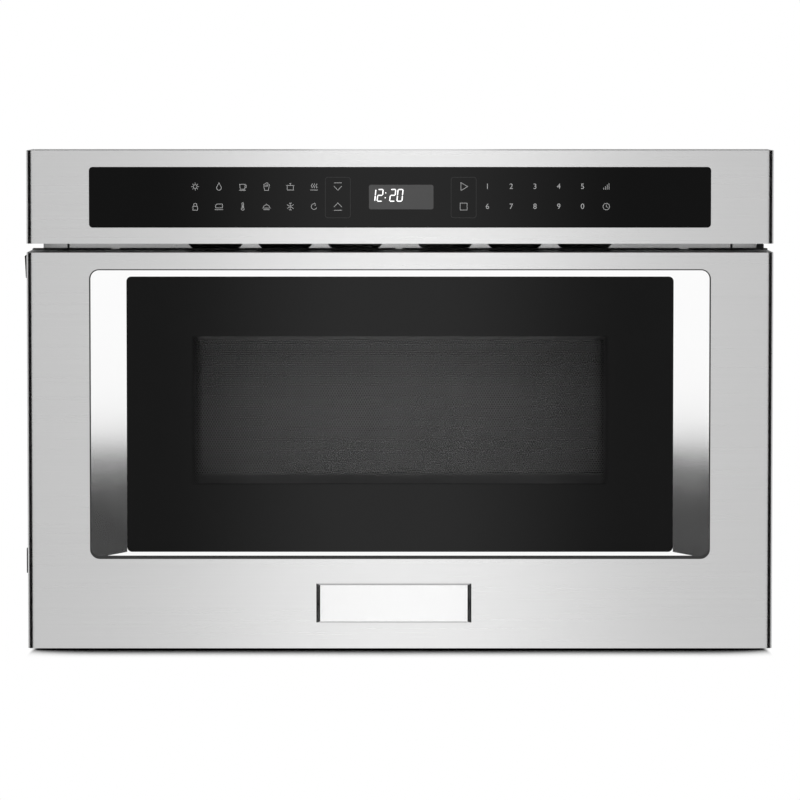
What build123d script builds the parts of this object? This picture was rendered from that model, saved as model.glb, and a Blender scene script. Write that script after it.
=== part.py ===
from build123d import *
from math import acos, cos, pi, radians, sin, tan
import os

os.makedirs("parts", exist_ok=True)

# Envelope. The origin is the centre of the base, X runs to the right, Z up and the front faces -Y.
sheet = 1.2
body_width = 556.0
body_height = 372.0
body_depth = 590.0
face_y = -body_depth / 2
rear_y = body_depth / 2
front_depth = 80.0
front_y = face_y - front_depth
front_width = 606.4
edge_bend = 3.8

# Drawer front and control panel, one above the other with an air gap between them. The drawer front
# stops short of the plate that it closes on.
door_bottom = 0.8
door_height = 322.4
door_top = door_bottom + door_height
panel_bottom = 330.5
panel_height = 75.5
plate_y = face_y - 1.5
door_back_y = plate_y - 1.7

# Cavity opening, the choke ring that seals it and the recess for the rails on either side.
cavity_half = 224.0
cavity_floor = 78.0
cavity_top = 262.0
cavity_depth = 432.0
choke_half = 250.0
choke_bottom = 52.0
choke_top = 288.0
choke_z = (choke_bottom + choke_top) / 2
choke_height = choke_top - choke_bottom
cavity_z = (cavity_floor + cavity_top) / 2
cavity_height = cavity_top - cavity_floor

# Window and glass opening of the drawer front.
opening_width = 504.6
opening_z = door_bottom + 191.0
opening_height = 236.0
glass_width = 444.6
glass_height = 224.5
glass_z = door_bottom + 190.6
bezel_depth = 6.2
window_width = 341.6
window_height = 120.5
window_z = door_bottom + 194.0

# Telescopic slides: depth of the set, height of each member and length.
slide_z = 112.0
rail_back = 269.0
rail_depth = 12.7
rail_front = rail_back - rail_depth
rail_length = 450.0
travel = 380.0
arm_thick = 2.5

# Rack-and-pinion drive.
gear_module = 1.5
pinion_teeth = 16
pinion_radius = gear_module * pinion_teeth / 2
pressure = radians(20.0)
backlash = 0.16
rack_addendum = 1.3
dedendum = 1.875
pinion_y = face_y + 34.0
pinion_z = 52.0
gear_width = 10.0


def front_plane(y):
    """A plane across the oven at depth y, drawn in X and Z, whose extrusions grow towards the front."""
    return Plane.XZ.offset(-y)


def side_plane(x):
    """A plane along the oven at x, drawn in Y and Z, whose extrusions grow to the right."""
    return Plane.YZ.offset(x)


# Base pan: a folded tray that the oven stands on, with air slots under the rear compartment.
pan_width = body_width - 2 * sheet
pan_rim = 24.0
with BuildPart() as base_pan:
    with BuildSketch():
        with Locations((0, -sheet / 2)):
            Rectangle(pan_width, body_depth - sheet)
    extrude(amount=pan_rim)
    offset(amount=-sheet, openings=base_pan.faces().sort_by(Axis.Z)[-1])
    with BuildSketch():
        with Locations((0, rear_y - 80.0)):
            with GridLocations(84.0, 14.0, 6, 4):
                Rectangle(66.0, 5.0)
        with Locations((60.0, face_y + 46.0)):
            with GridLocations(84.0, 14.0, 3, 2):
                Rectangle(66.0, 5.0)
    extrude(amount=sheet, mode=Mode.SUBTRACT)
base_pan.part.label = "base_pan"
export_step(base_pan.part, "parts/base_pan.step")

# Wrapper: one sheet folded over the top and down both sides, with air slots beside the rear compartment.
wrapper_depth = body_depth - sheet
with BuildPart() as wrapper:
    with BuildSketch(front_plane(face_y)):
        with Locations((0, body_height / 2 + 0.25)):
            Rectangle(body_width, body_height - 0.5)
        with Locations((0, body_height / 2 - sheet)):
            Rectangle(pan_width, body_height, mode=Mode.SUBTRACT)
    extrude(amount=-wrapper_depth)
    with BuildSketch(side_plane(-body_width / 2)):
        with Locations((rear_y - 80.0, 330.0)):
            with GridLocations(0, 12.0, 1, 4):
                Rectangle(70.0, 4.0)
    extrude(amount=body_width, mode=Mode.SUBTRACT)
wrapper.part.label = "wrapper"
export_step(wrapper.part, "parts/wrapper.step")

# Rear panel: a sheet with two fields of hooded louvres and a hole for the cord gland.
gland_x = 225.0
gland_z = 60.0
gland_bore = 11.0
louvre_x = 150.0
louvre_length = 110.0
louvre_pitch = 14.0
louvre_z = 265.0
with BuildPart() as rear_panel:
    with BuildSketch(front_plane(rear_y)):
        with Locations((0, body_height / 2)):
            Rectangle(pan_width, body_height - 2 * sheet)
    extrude(amount=sheet)
    with BuildSketch(front_plane(rear_y)):
        with Locations((0, louvre_z)):
            with GridLocations(2 * louvre_x, louvre_pitch, 2, 7):
                Rectangle(louvre_length, 5.0)
        with Locations((gland_x, gland_z)):
            Circle(gland_bore)
    extrude(amount=sheet, mode=Mode.SUBTRACT)
    for column_x in (-louvre_x, louvre_x):
        with BuildSketch(side_plane(column_x - louvre_length / 2)):
            with Locations((rear_y - 2.8, louvre_z + 0.85)):
                with GridLocations(0, louvre_pitch, 1, 7):
                    Rectangle(6.5, 1.0, rotation=45)
        extrude(amount=louvre_length)
rear_panel.part.label = "rear_panel"
export_step(rear_panel.part, "parts/rear_panel.step")

# Cord gland: a flanged plastic bush seated in the rear panel.
with BuildPart() as cord_gland:
    with BuildSketch(front_plane(rear_y)):
        with Locations((gland_x, gland_z)):
            Circle(15.0)
    extrude(amount=-4.0)
    with BuildSketch(front_plane(rear_y)):
        with Locations((gland_x, gland_z)):
            Circle(gland_bore)
    extrude(amount=12.0)
    with BuildSketch(front_plane(rear_y + 4.0)):
        with Locations((gland_x, gland_z)):
            Circle(5.0)
    extrude(amount=16.0, mode=Mode.SUBTRACT)
    chamfer(cord_gland.edges().filter_by(GeomType.CIRCLE).group_by(Axis.Y)[-1].sort_by(SortBy.RADIUS)[-1:], 1.0)
cord_gland.part.label = "cord_gland"
export_step(cord_gland.part, "parts/cord_gland.step")

# Front plate: the face that the drawer closes on, with the cavity opening, two notches for the
# rails, slots for the latch hooks and the six air outlets seen under the control panel.
seam_half = 273.0
notch_inner = 252.3
notch_bottom = 58.0
notch_height = 79.0
hook_x = 261.0
hook_z = 250.0
vent_pitch = 57.6
vent_group = 94.8
vent_width = 45.2
vent_bottom = 324.0
vent_height = 14.0
plate_top = 392.0
with BuildPart() as front_plate:
    with BuildSketch(front_plane(face_y)):
        with Locations((0, plate_top / 2)):
            Rectangle(2 * seam_half, plate_top)
        with Locations((0, cavity_z)):
            Rectangle(2 * cavity_half, cavity_height, mode=Mode.SUBTRACT)
        for side in (-1, 1):
            with Locations((side * (notch_inner + seam_half) / 2, notch_bottom + notch_height / 2)):
                Rectangle(seam_half - notch_inner, notch_height, mode=Mode.SUBTRACT)
            with Locations((side * hook_x, hook_z)):
                Rectangle(8.0, 30.0, mode=Mode.SUBTRACT)
        with Locations((-vent_group, vent_bottom + vent_height / 2), (vent_group, vent_bottom + vent_height / 2)):
            with GridLocations(vent_pitch, 0, 3, 1):
                RectangleRounded(vent_width, vent_height, 6.0, mode=Mode.SUBTRACT)
    extrude(amount=face_y - plate_y)
front_plate.part.label = "front_plate"
export_step(front_plate.part, "parts/front_plate.step")

# Side flanges: angles along both edges of the body that screw to the cabinet face, their inner edge
# joggled clear of the wrapper.
flange_half = 294.5
screw_x = 286.0
screw_z = 195.0
screw_spacing = 190.0
screw_hole = 2.6
flange_seam = 274.8
joggle = 0.3
for side, hand in ((-1, "left"), (1, "right")):
    with BuildPart() as side_flange:
        with BuildSketch(front_plane(face_y)):
            with Locations((side * (flange_seam + flange_half) / 2, plate_top / 2)):
                Rectangle(flange_half - flange_seam, plate_top)
            with Locations((side * screw_x, screw_z)):
                with GridLocations(0, screw_spacing, 1, 2):
                    Circle(screw_hole, mode=Mode.SUBTRACT)
        extrude(amount=face_y - plate_y)
        with BuildSketch(front_plane(face_y)):
            with Locations((side * (flange_seam + body_width / 2) / 2, plate_top / 2)):
                Rectangle(body_width / 2 - flange_seam, plate_top)
        extrude(amount=joggle, mode=Mode.SUBTRACT)
        with BuildSketch(front_plane(face_y)):
            with Locations((side * (body_width / 2 + sheet / 2), body_height / 2)):
                Rectangle(sheet, body_height - 16.0)
        extrude(amount=-34.0)
    side_flange.part.label = f"side_flange_{hand}"
    export_step(side_flange.part, f"parts/side_flange_{hand}.step")

# Flange stop: a rubber pad hooked over the outer edge of the right flange.
stop_x = 297.5
stop_z = 321.0
with BuildPart() as flange_stop:
    with BuildSketch(front_plane(plate_y)):
        with Locations((stop_x, stop_z)):
            RectangleRounded(6.0, 14.0, 1.0)
    extrude(amount=1.4)
    with BuildSketch(front_plane(plate_y)):
        with Locations((stop_x, stop_z)):
            Rectangle(6.0, 12.0)
        with Locations((flange_half - 3.0, stop_z)):
            Rectangle(6.0, 14.0, mode=Mode.SUBTRACT)
    extrude(amount=-2.5)
flange_stop.part.label = "flange_stop"
export_step(flange_stop.part, "parts/flange_stop.step")

# Oven cavity: a welded steel box, open at the front, with a shallow antenna recess in its roof,
# lamp perforations in the recess wall side and an exhaust pattern at the rear.
recess_x = 85.0
recess_y = face_y + 235.0
recess_length = 170.0
recess_height = 26.0
cavity_back = face_y + cavity_depth
roof_z = cavity_top + sheet
with BuildPart() as oven_cavity:
    with BuildSketch(front_plane(face_y)):
        with Locations((0, cavity_z)):
            Rectangle(2 * (cavity_half + sheet), cavity_height + 2 * sheet)
    extrude(amount=-(cavity_depth + sheet))
    with BuildSketch(Plane.XY.offset(roof_z)):
        with Locations((0, recess_y)):
            Rectangle(2 * recess_x, recess_length)
    extrude(amount=recess_height)
    with BuildSketch(front_plane(face_y)):
        with Locations((0, cavity_z)):
            Rectangle(2 * cavity_half, cavity_height)
    extrude(amount=-cavity_depth, mode=Mode.SUBTRACT)
    with BuildSketch(Plane.XY.offset(cavity_top)):
        with Locations((0, recess_y)):
            Rectangle(2 * (recess_x - sheet), recess_length - 2 * sheet)
    extrude(amount=recess_height, mode=Mode.SUBTRACT)
    with BuildSketch(Plane.XY.offset(roof_z + recess_height)):
        with Locations((0, recess_y)):
            Circle(12.0)
    extrude(amount=-2 * sheet, mode=Mode.SUBTRACT)
    with BuildSketch(Plane.XY.offset(roof_z)):
        with Locations((160.0, recess_y)):
            with GridLocations(8.0, 8.0, 3, 3):
                RegularPolygon(2.5, 6)
    extrude(amount=-sheet, mode=Mode.SUBTRACT)
    with BuildSketch(front_plane(cavity_back + sheet)):
        with Locations((-150.0, cavity_z + 40.0)):
            with GridLocations(8.0, 8.0, 6, 3):
                RegularPolygon(2.5, 6)
    extrude(amount=sheet, mode=Mode.SUBTRACT)
oven_cavity.part.label = "oven_cavity"
export_step(oven_cavity.part, "parts/oven_cavity.step")

# Stirrer cover: a thin mica plate that closes the antenna recess from inside the cavity.
with BuildPart() as stirrer_cover:
    with BuildSketch(Plane.XY.offset(cavity_top)):
        with Locations((0, recess_y)):
            Rectangle(2 * recess_x + 14.0, recess_length + 14.0)
    extrude(amount=-1.5)
stirrer_cover.part.label = "stirrer_cover"
export_step(stirrer_cover.part, "parts/stirrer_cover.step")

# Waveguide: a rectangular duct on the recess that carries the power forward from the magnetron.
guide_z = roof_z + recess_height
guide_height = 38.0
guide_half = 46.0
guide_front = recess_y - 46.0
guide_back = rear_y - 8.0
magnetron_y = cavity_back + sheet + 72.0
with BuildPart() as waveguide:
    with BuildSketch(Plane.XY.offset(guide_z)):
        with Locations((0, (guide_front + guide_back) / 2)):
            Rectangle(2 * guide_half, guide_back - guide_front)
    extrude(amount=guide_height)
    offset(amount=-sheet, kind=Kind.INTERSECTION, mode=Mode.SUBTRACT)
    with BuildSketch(Plane.XY.offset(guide_z)):
        with Locations((0, recess_y), (0, magnetron_y)):
            Circle(12.0)
    extrude(amount=sheet, mode=Mode.SUBTRACT)
    with BuildSketch(Plane.XY.offset(guide_z + guide_height)):
        with Locations((0, recess_y)):
            Circle(5.0)
    extrude(amount=-sheet, mode=Mode.SUBTRACT)
waveguide.part.label = "waveguide"
export_step(waveguide.part, "parts/waveguide.step")

# Stirrer antenna: a slotted disc on a stem that turns in the recess; it is a body of its own.
antenna_z = cavity_top + 8.0
motor_z = guide_z + guide_height
with BuildPart() as stirrer_antenna:
    with BuildSketch(Plane.XY.offset(antenna_z)):
        with Locations((0, recess_y)):
            Circle(64.0)
            with PolarLocations(38.0, 4):
                SlotOverall(38.0, 12.0, rotation=30, mode=Mode.SUBTRACT)
    extrude(amount=1.5)
    with BuildSketch(Plane.XY.offset(antenna_z)):
        with Locations((0, recess_y)):
            Circle(4.0)
    extrude(amount=motor_z + 6.0 - antenna_z)
    with BuildSketch(Plane.XY.offset(antenna_z + 1.5)):
        with Locations((0, recess_y)):
            Circle(8.0)
    extrude(amount=8.0)
stirrer_antenna.part.label = "stirrer_antenna"
export_step(stirrer_antenna.part, "parts/stirrer_antenna.step")

# Stirrer motor: a flat synchronous motor on the waveguide, its bore a running fit on the stem.
with BuildPart() as stirrer_motor:
    with BuildSketch(Plane.XY.offset(motor_z)):
        with Locations((0, recess_y)):
            Rectangle(74.0, 12.0)
    extrude(amount=2.0)
    with BuildSketch(Plane.XY.offset(motor_z)):
        with Locations((0, recess_y)):
            Circle(24.0)
    extrude(amount=18.0)
    with BuildSketch(Plane.XY.offset(motor_z)):
        with Locations((0, recess_y + 24.0)):
            Rectangle(18.0, 14.0)
    extrude(amount=10.0)
    with BuildSketch(Plane.XY.offset(motor_z)):
        with Locations((0, recess_y)):
            Circle(4.05)
    extrude(amount=8.0, mode=Mode.SUBTRACT)
stirrer_motor.part.label = "stirrer_motor"
export_step(stirrer_motor.part, "parts/stirrer_motor.step")

# Magnetron: yoke, two ring magnets, finned anode and the antenna dome that enters the waveguide,
# with the shielding box of its filter and two terminals below.
yoke_width = 92.0
yoke_length = 78.0
yoke_height = 66.0
yoke_top = guide_z
yoke_z = yoke_top - yoke_height
with BuildPart() as magnetron:
    with BuildSketch(front_plane(magnetron_y - yoke_length / 2)):
        with Locations((0, yoke_z + yoke_height / 2)):
            Rectangle(yoke_width, yoke_height)
            Rectangle(yoke_width - 5.0, yoke_height - 5.0, mode=Mode.SUBTRACT)
    extrude(amount=-yoke_length)
    with BuildSketch(Plane.XY.offset(yoke_z + 2.5)):
        with Locations((0, magnetron_y)):
            Circle(19.0)
    extrude(amount=yoke_height - 5.0)
    for magnet_z in (yoke_z + 2.5, yoke_top - 14.5):
        with BuildSketch(Plane.XY.offset(magnet_z)):
            with Locations((0, magnetron_y)):
                Circle(27.0)
        extrude(amount=12.0)
    for fin in range(4):
        with BuildSketch(Plane.XY.offset(yoke_z + 19.0 + 9.0 * fin)):
            with Locations((0, magnetron_y)):
                Rectangle(yoke_width - 4.0, 62.0)
        extrude(amount=1.0)
    with BuildSketch(Plane.XY.offset(yoke_top)):
        with Locations((0, magnetron_y)):
            Circle(9.0)
    extrude(amount=22.0)
    with BuildSketch(Plane.XY.offset(yoke_z)):
        with Locations((0, magnetron_y)):
            Rectangle(80.0, 60.0)
    extrude(amount=-34.0)
    with BuildSketch(side_plane(40.0)):
        with Locations((magnetron_y, yoke_z - 17.0)):
            Rectangle(30.0, 18.0)
    extrude(amount=7.0)
    with BuildSketch(side_plane(47.0)):
        with Locations((magnetron_y, yoke_z - 17.0)):
            with GridLocations(14.0, 0, 2, 1):
                Rectangle(1.0, 6.0)
    extrude(amount=9.0)
magnetron.part.label = "magnetron"
export_step(magnetron.part, "parts/magnetron.step")

# Cooling fan: a square shroud beside the magnetron, a motor on three arms and a five-blade rotor.
fan_x = 84.0
fan_y = magnetron_y
fan_z = yoke_z + 33.0
fan_size = 96.0
fan_thick = 22.0
fan_bore = 44.0
fan_motor_x = fan_x + fan_thick + 10.0
with BuildPart() as fan_shroud:
    with BuildSketch(side_plane(fan_x)):
        with Locations((fan_y, fan_z)):
            Rectangle(fan_size, fan_size)
            Circle(fan_bore, mode=Mode.SUBTRACT)
    extrude(amount=fan_thick)
    with BuildSketch(side_plane(fan_x + fan_thick)):
        with Locations((fan_y, fan_z)):
            with PolarLocations(34.0, 3, start_angle=90):
                Rectangle(36.0, 6.0)
            Circle(20.0)
    extrude(amount=3.0)
    with BuildSketch(side_plane(fan_x + fan_thick)):
        with Locations((fan_y, fan_z)):
            Circle(6.0)
    extrude(amount=3.0, mode=Mode.SUBTRACT)
fan_shroud.part.label = "fan_shroud"
export_step(fan_shroud.part, "parts/fan_shroud.step")

with BuildPart() as fan_motor:
    with BuildSketch(side_plane(fan_x + fan_thick + 3.0)):
        with Locations((fan_y, fan_z)):
            Rectangle(52.0, 44.0)
    extrude(amount=16.0)
    with BuildSketch(side_plane(fan_x + fan_thick + 19.0)):
        with Locations((fan_y, fan_z)):
            Circle(15.0)
    extrude(amount=8.0)
    with BuildSketch(side_plane(fan_x + fan_thick + 3.0)):
        with Locations((fan_y, fan_z - 30.0)):
            Rectangle(34.0, 18.0)
    extrude(amount=16.0)
    with BuildSketch(side_plane(fan_x + fan_thick + 3.0)):
        with Locations((fan_y, fan_z)):
            Circle(3.05)
    extrude(amount=14.0, mode=Mode.SUBTRACT)
fan_motor.part.label = "fan_motor"
export_step(fan_motor.part, "parts/fan_motor.step")

blade_pitch = 32.0
with BuildPart() as fan_rotor:
    with BuildSketch(side_plane(fan_x + 4.0)):
        with Locations((fan_y, fan_z)):
            Circle(14.0)
    extrude(amount=15.0)
    with BuildSketch(side_plane(fan_x + 4.0)):
        with Locations((fan_y, fan_z)):
            Circle(3.0)
    extrude(amount=33.0)
    for blade in range(5):
        hub = Plane(
            origin=(fan_x + 11.5, fan_y, fan_z),
            x_dir=(1, 0, 0),
            z_dir=(0, cos(2 * pi * blade / 5), sin(2 * pi * blade / 5)),
        )
        with BuildSketch(hub.offset(12.0)):
            Rectangle(11.0, 1.6, rotation=blade_pitch)
        with BuildSketch(hub.offset(42.0)):
            Rectangle(16.0, 1.2, rotation=blade_pitch)
        loft(ruled=True)
fan_rotor.part.label = "fan_rotor"
export_step(fan_rotor.part, "parts/fan_rotor.step")

# High-voltage supply on the base pan: transformer with its winding, capacitor can with its strap.
core_x = -150.0
core_length = 100.0
core_height = 84.0
core_y = cavity_back + sheet + 72.0
window_x = 26.0
with BuildPart() as transformer:
    with BuildSketch(front_plane(core_y + 30.0)):
        with Locations((core_x, sheet + core_height / 2)):
            Rectangle(core_length, core_height)
            with GridLocations(window_x * 2, 0, 2, 1):
                Rectangle(18.0, 52.0, mode=Mode.SUBTRACT)
    extrude(amount=60.0)
    with BuildSketch(Plane.XY.offset(sheet)):
        with Locations((core_x, core_y)):
            with GridLocations(core_length + 14.0, 0, 2, 1):
                Rectangle(18.0, 50.0)
    extrude(amount=2.0)
    with BuildSketch(Plane.XY.offset(sheet + core_height / 2 - 25.0)):
        with Locations((core_x, core_y)):
            RectangleRounded(69.0, 94.0, 8.0)
            Rectangle(34.0, 60.0, mode=Mode.SUBTRACT)
    extrude(amount=50.0)
    with BuildSketch(Plane.XY.offset(sheet + core_height / 2 - 2.0)):
        with Locations((core_x, core_y)):
            Rectangle(80.0, 100.0)
            Rectangle(60.0, 90.0, mode=Mode.SUBTRACT)
    extrude(amount=4.0, mode=Mode.SUBTRACT)
transformer.part.label = "transformer"
export_step(transformer.part, "parts/transformer.step")

capacitor_x = -48.0
capacitor_height = 92.0
with BuildPart() as capacitor:
    with BuildSketch(Plane.XY.offset(sheet)):
        with Locations((capacitor_x, core_y)):
            SlotOverall(54.0, 34.0, rotation=90)
    extrude(amount=capacitor_height)
    with BuildSketch(Plane.XY.offset(sheet + capacitor_height)):
        with Locations((capacitor_x, core_y)):
            with GridLocations(0, 22.0, 1, 2):
                RegularPolygon(5.0, 8)
    extrude(amount=4.0)
    with BuildSketch(Plane.XY.offset(sheet + capacitor_height + 4.0)):
        with Locations((capacitor_x, core_y)):
            with GridLocations(0, 22.0, 1, 2):
                Rectangle(1.0, 6.0)
    extrude(amount=8.0)
    with BuildSketch(Plane.XY.offset(sheet + 30.0)):
        with Locations((capacitor_x, core_y)):
            SlotOverall(56.0, 36.0, rotation=90)
    extrude(amount=20.0)
    with BuildSketch(side_plane(capacitor_x - 8.0)):
        with Locations((core_y - 28.5, sheet + 25.0)):
            Rectangle(1.2, 50.0)
        with Locations((core_y - 36.0, sheet + 0.6)):
            Rectangle(14.0, 1.2)
    extrude(amount=16.0)
capacitor.part.label = "capacitor"
export_step(capacitor.part, "parts/capacitor.step")

# Noise filter board: circuit board on standoffs beside the cord gland, with choke and capacitor.
board_x = 150.0
board_z = 70.0
with BuildPart() as noise_filter:
    with BuildSketch(front_plane(rear_y - sheet - 8.0)):
        with Locations((board_x, board_z)):
            Rectangle(92.0, 62.0)
    extrude(amount=1.6)
    with BuildSketch(front_plane(rear_y - sheet)):
        with Locations((board_x, board_z)):
            with GridLocations(80.0, 50.0, 2, 2):
                RegularPolygon(3.5, 6)
    extrude(amount=8.0)
    with BuildSketch(front_plane(rear_y - sheet - 9.6)):
        with Locations((board_x - 22.0, board_z)):
            Circle(14.0)
            Circle(6.0, mode=Mode.SUBTRACT)
        with Locations((board_x + 24.0, board_z + 10.0)):
            Rectangle(30.0, 16.0)
    extrude(amount=14.0)
noise_filter.part.label = "noise_filter"
export_step(noise_filter.part, "parts/noise_filter.step")

# Cavity lamp: a hood on the cavity roof over its perforations, with socket and bulb inside.
lamp_x = 160.0
with BuildPart() as cavity_lamp:
    with BuildSketch(Plane.XY.offset(roof_z)):
        with Locations((lamp_x, recess_y)):
            Rectangle(48.0, 58.0)
            Rectangle(44.0, 54.0, mode=Mode.SUBTRACT)
    extrude(amount=42.0)
    with BuildSketch(Plane.XY.offset(roof_z + 42.0)):
        with Locations((lamp_x, recess_y)):
            Rectangle(48.0, 58.0)
    extrude(amount=2.0)
    with BuildSketch(Plane.XY.offset(roof_z + 42.0)):
        with Locations((lamp_x, recess_y)):
            Circle(9.0)
    extrude(amount=-12.0)
    with BuildSketch(Plane.XY.offset(roof_z + 6.0)):
        with Locations((lamp_x, recess_y)):
            Circle(11.0)
    with BuildSketch(Plane.XY.offset(roof_z + 30.0)):
        with Locations((lamp_x, recess_y)):
            Circle(6.0)
    loft()
cavity_lamp.part.label = "cavity_lamp"
export_step(cavity_lamp.part, "parts/cavity_lamp.step")

# Air duct: the flat sheet duct that ends at the six outlets of the front plate.
duct_half = 182.0
duct_height = 20.0
duct_length = 150.0
with BuildPart() as air_duct:
    with BuildSketch(front_plane(face_y)):
        with Locations((0, vent_bottom + vent_height / 2)):
            Rectangle(2 * duct_half, duct_height)
            Rectangle(2 * (duct_half - 1.0), duct_height - 2.0, mode=Mode.SUBTRACT)
    extrude(amount=-duct_length)
    with BuildSketch(front_plane(face_y)):
        with Locations((0, vent_bottom + vent_height / 2)):
            with GridLocations(vent_group + vent_pitch / 2, 0, 3, 1):
                Rectangle(1.0, duct_height)
    extrude(amount=-30.0)
air_duct.part.label = "air_duct"
export_step(air_duct.part, "parts/air_duct.step")

# Control panel frame: a steel pan with rolled side edges, open at the back apart from a lip.
panel_depth = plate_y - front_y
panel_z = panel_bottom + panel_height / 2
touch_width = 504.3
touch_height = 49.2
touch_z = panel_bottom + 37.6
with BuildPart() as control_panel:
    with BuildSketch(front_plane(plate_y)):
        with Locations((0, panel_z)):
            Rectangle(front_width, panel_height)
    extrude(amount=panel_depth)
    rolled = control_panel.faces().sort_by(Axis.Y)[0].edges().filter_by(Axis.Z)
    fillet(rolled, edge_bend)
    offset(amount=-sheet, openings=control_panel.faces().sort_by(Axis.Y)[-1])
    with BuildSketch(front_plane(plate_y)):
        with Locations((0, panel_z)):
            Rectangle(front_width, panel_height)
            Rectangle(front_width - 24.0, panel_height - 24.0, mode=Mode.SUBTRACT)
    extrude(amount=sheet)
    with BuildSketch(front_plane(front_y)):
        with Locations((0, touch_z)):
            RectangleRounded(touch_width, touch_height, 3.0)
    extrude(amount=-sheet, mode=Mode.SUBTRACT)
control_panel.part.label = "control_panel"
export_step(control_panel.part, "parts/control_panel.step")

# Touch glass: one flat black sheet with touch keys that have no travel.
glass_gap = 0.25
with BuildPart() as touch_glass:
    with BuildSketch(front_plane(front_y + 0.3)):
        with Locations((0, touch_z)):
            RectangleRounded(touch_width - 2 * glass_gap, touch_height - 2 * glass_gap, 3.0 - glass_gap)
    extrude(amount=-3.0)
    chamfer(touch_glass.faces().sort_by(Axis.Y)[0].edges(), 0.3)
touch_glass.part.label = "touch_glass"
export_step(touch_glass.part, "parts/touch_glass.step")

# Control housing: plastic tray behind the glass, with bosses for the control board.
housing_front = front_y + sheet
housing_depth = 24.0
board_front = front_y + 15.0
with BuildPart() as control_housing:
    with BuildSketch(front_plane(housing_front)):
        with Locations((0, touch_z)):
            RectangleRounded(touch_width + 12.0, touch_height + 12.0, 5.0)
    extrude(amount=-housing_depth)
    with BuildSketch(front_plane(housing_front)):
        with Locations((0, touch_z)):
            RectangleRounded(touch_width, touch_height, 3.0)
    extrude(amount=-(housing_depth - 2.0), mode=Mode.SUBTRACT)
    with BuildSketch(front_plane(housing_front + housing_depth)):
        with Locations((0, touch_z)):
            with GridLocations(462.0, 34.0, 2, 2):
                Circle(3.0)
    extrude(amount=housing_front + housing_depth - board_front - 1.6)
control_housing.part.label = "control_housing"
export_step(control_housing.part, "parts/control_housing.step")

with BuildPart() as control_board:
    with BuildSketch(front_plane(board_front)):
        with Locations((0, touch_z)):
            Rectangle(touch_width - 10.0, touch_height - 6.0)
    extrude(amount=-1.6)
    with BuildSketch(front_plane(board_front + 1.6)):
        with Locations((-205.0, touch_z)):
            Rectangle(20.0, 16.0)
        with Locations((205.0, touch_z)):
            Rectangle(26.0, 20.0)
        with Locations((0, touch_z)):
            Rectangle(18.0, 18.0)
    extrude(amount=-6.0)
control_board.part.label = "control_board"
export_step(control_board.part, "parts/control_board.step")

with BuildPart() as display_module:
    with BuildSketch(front_plane(front_y + 3.3)):
        with Locations((1.1, touch_z)):
            Rectangle(60.0, 26.0)
    extrude(amount=-(board_front - front_y - 3.3))
    chamfer(display_module.faces().sort_by(Axis.Y)[0].edges(), 1.0)
display_module.part.label = "display_module"
export_step(display_module.part, "parts/display_module.step")

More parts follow.
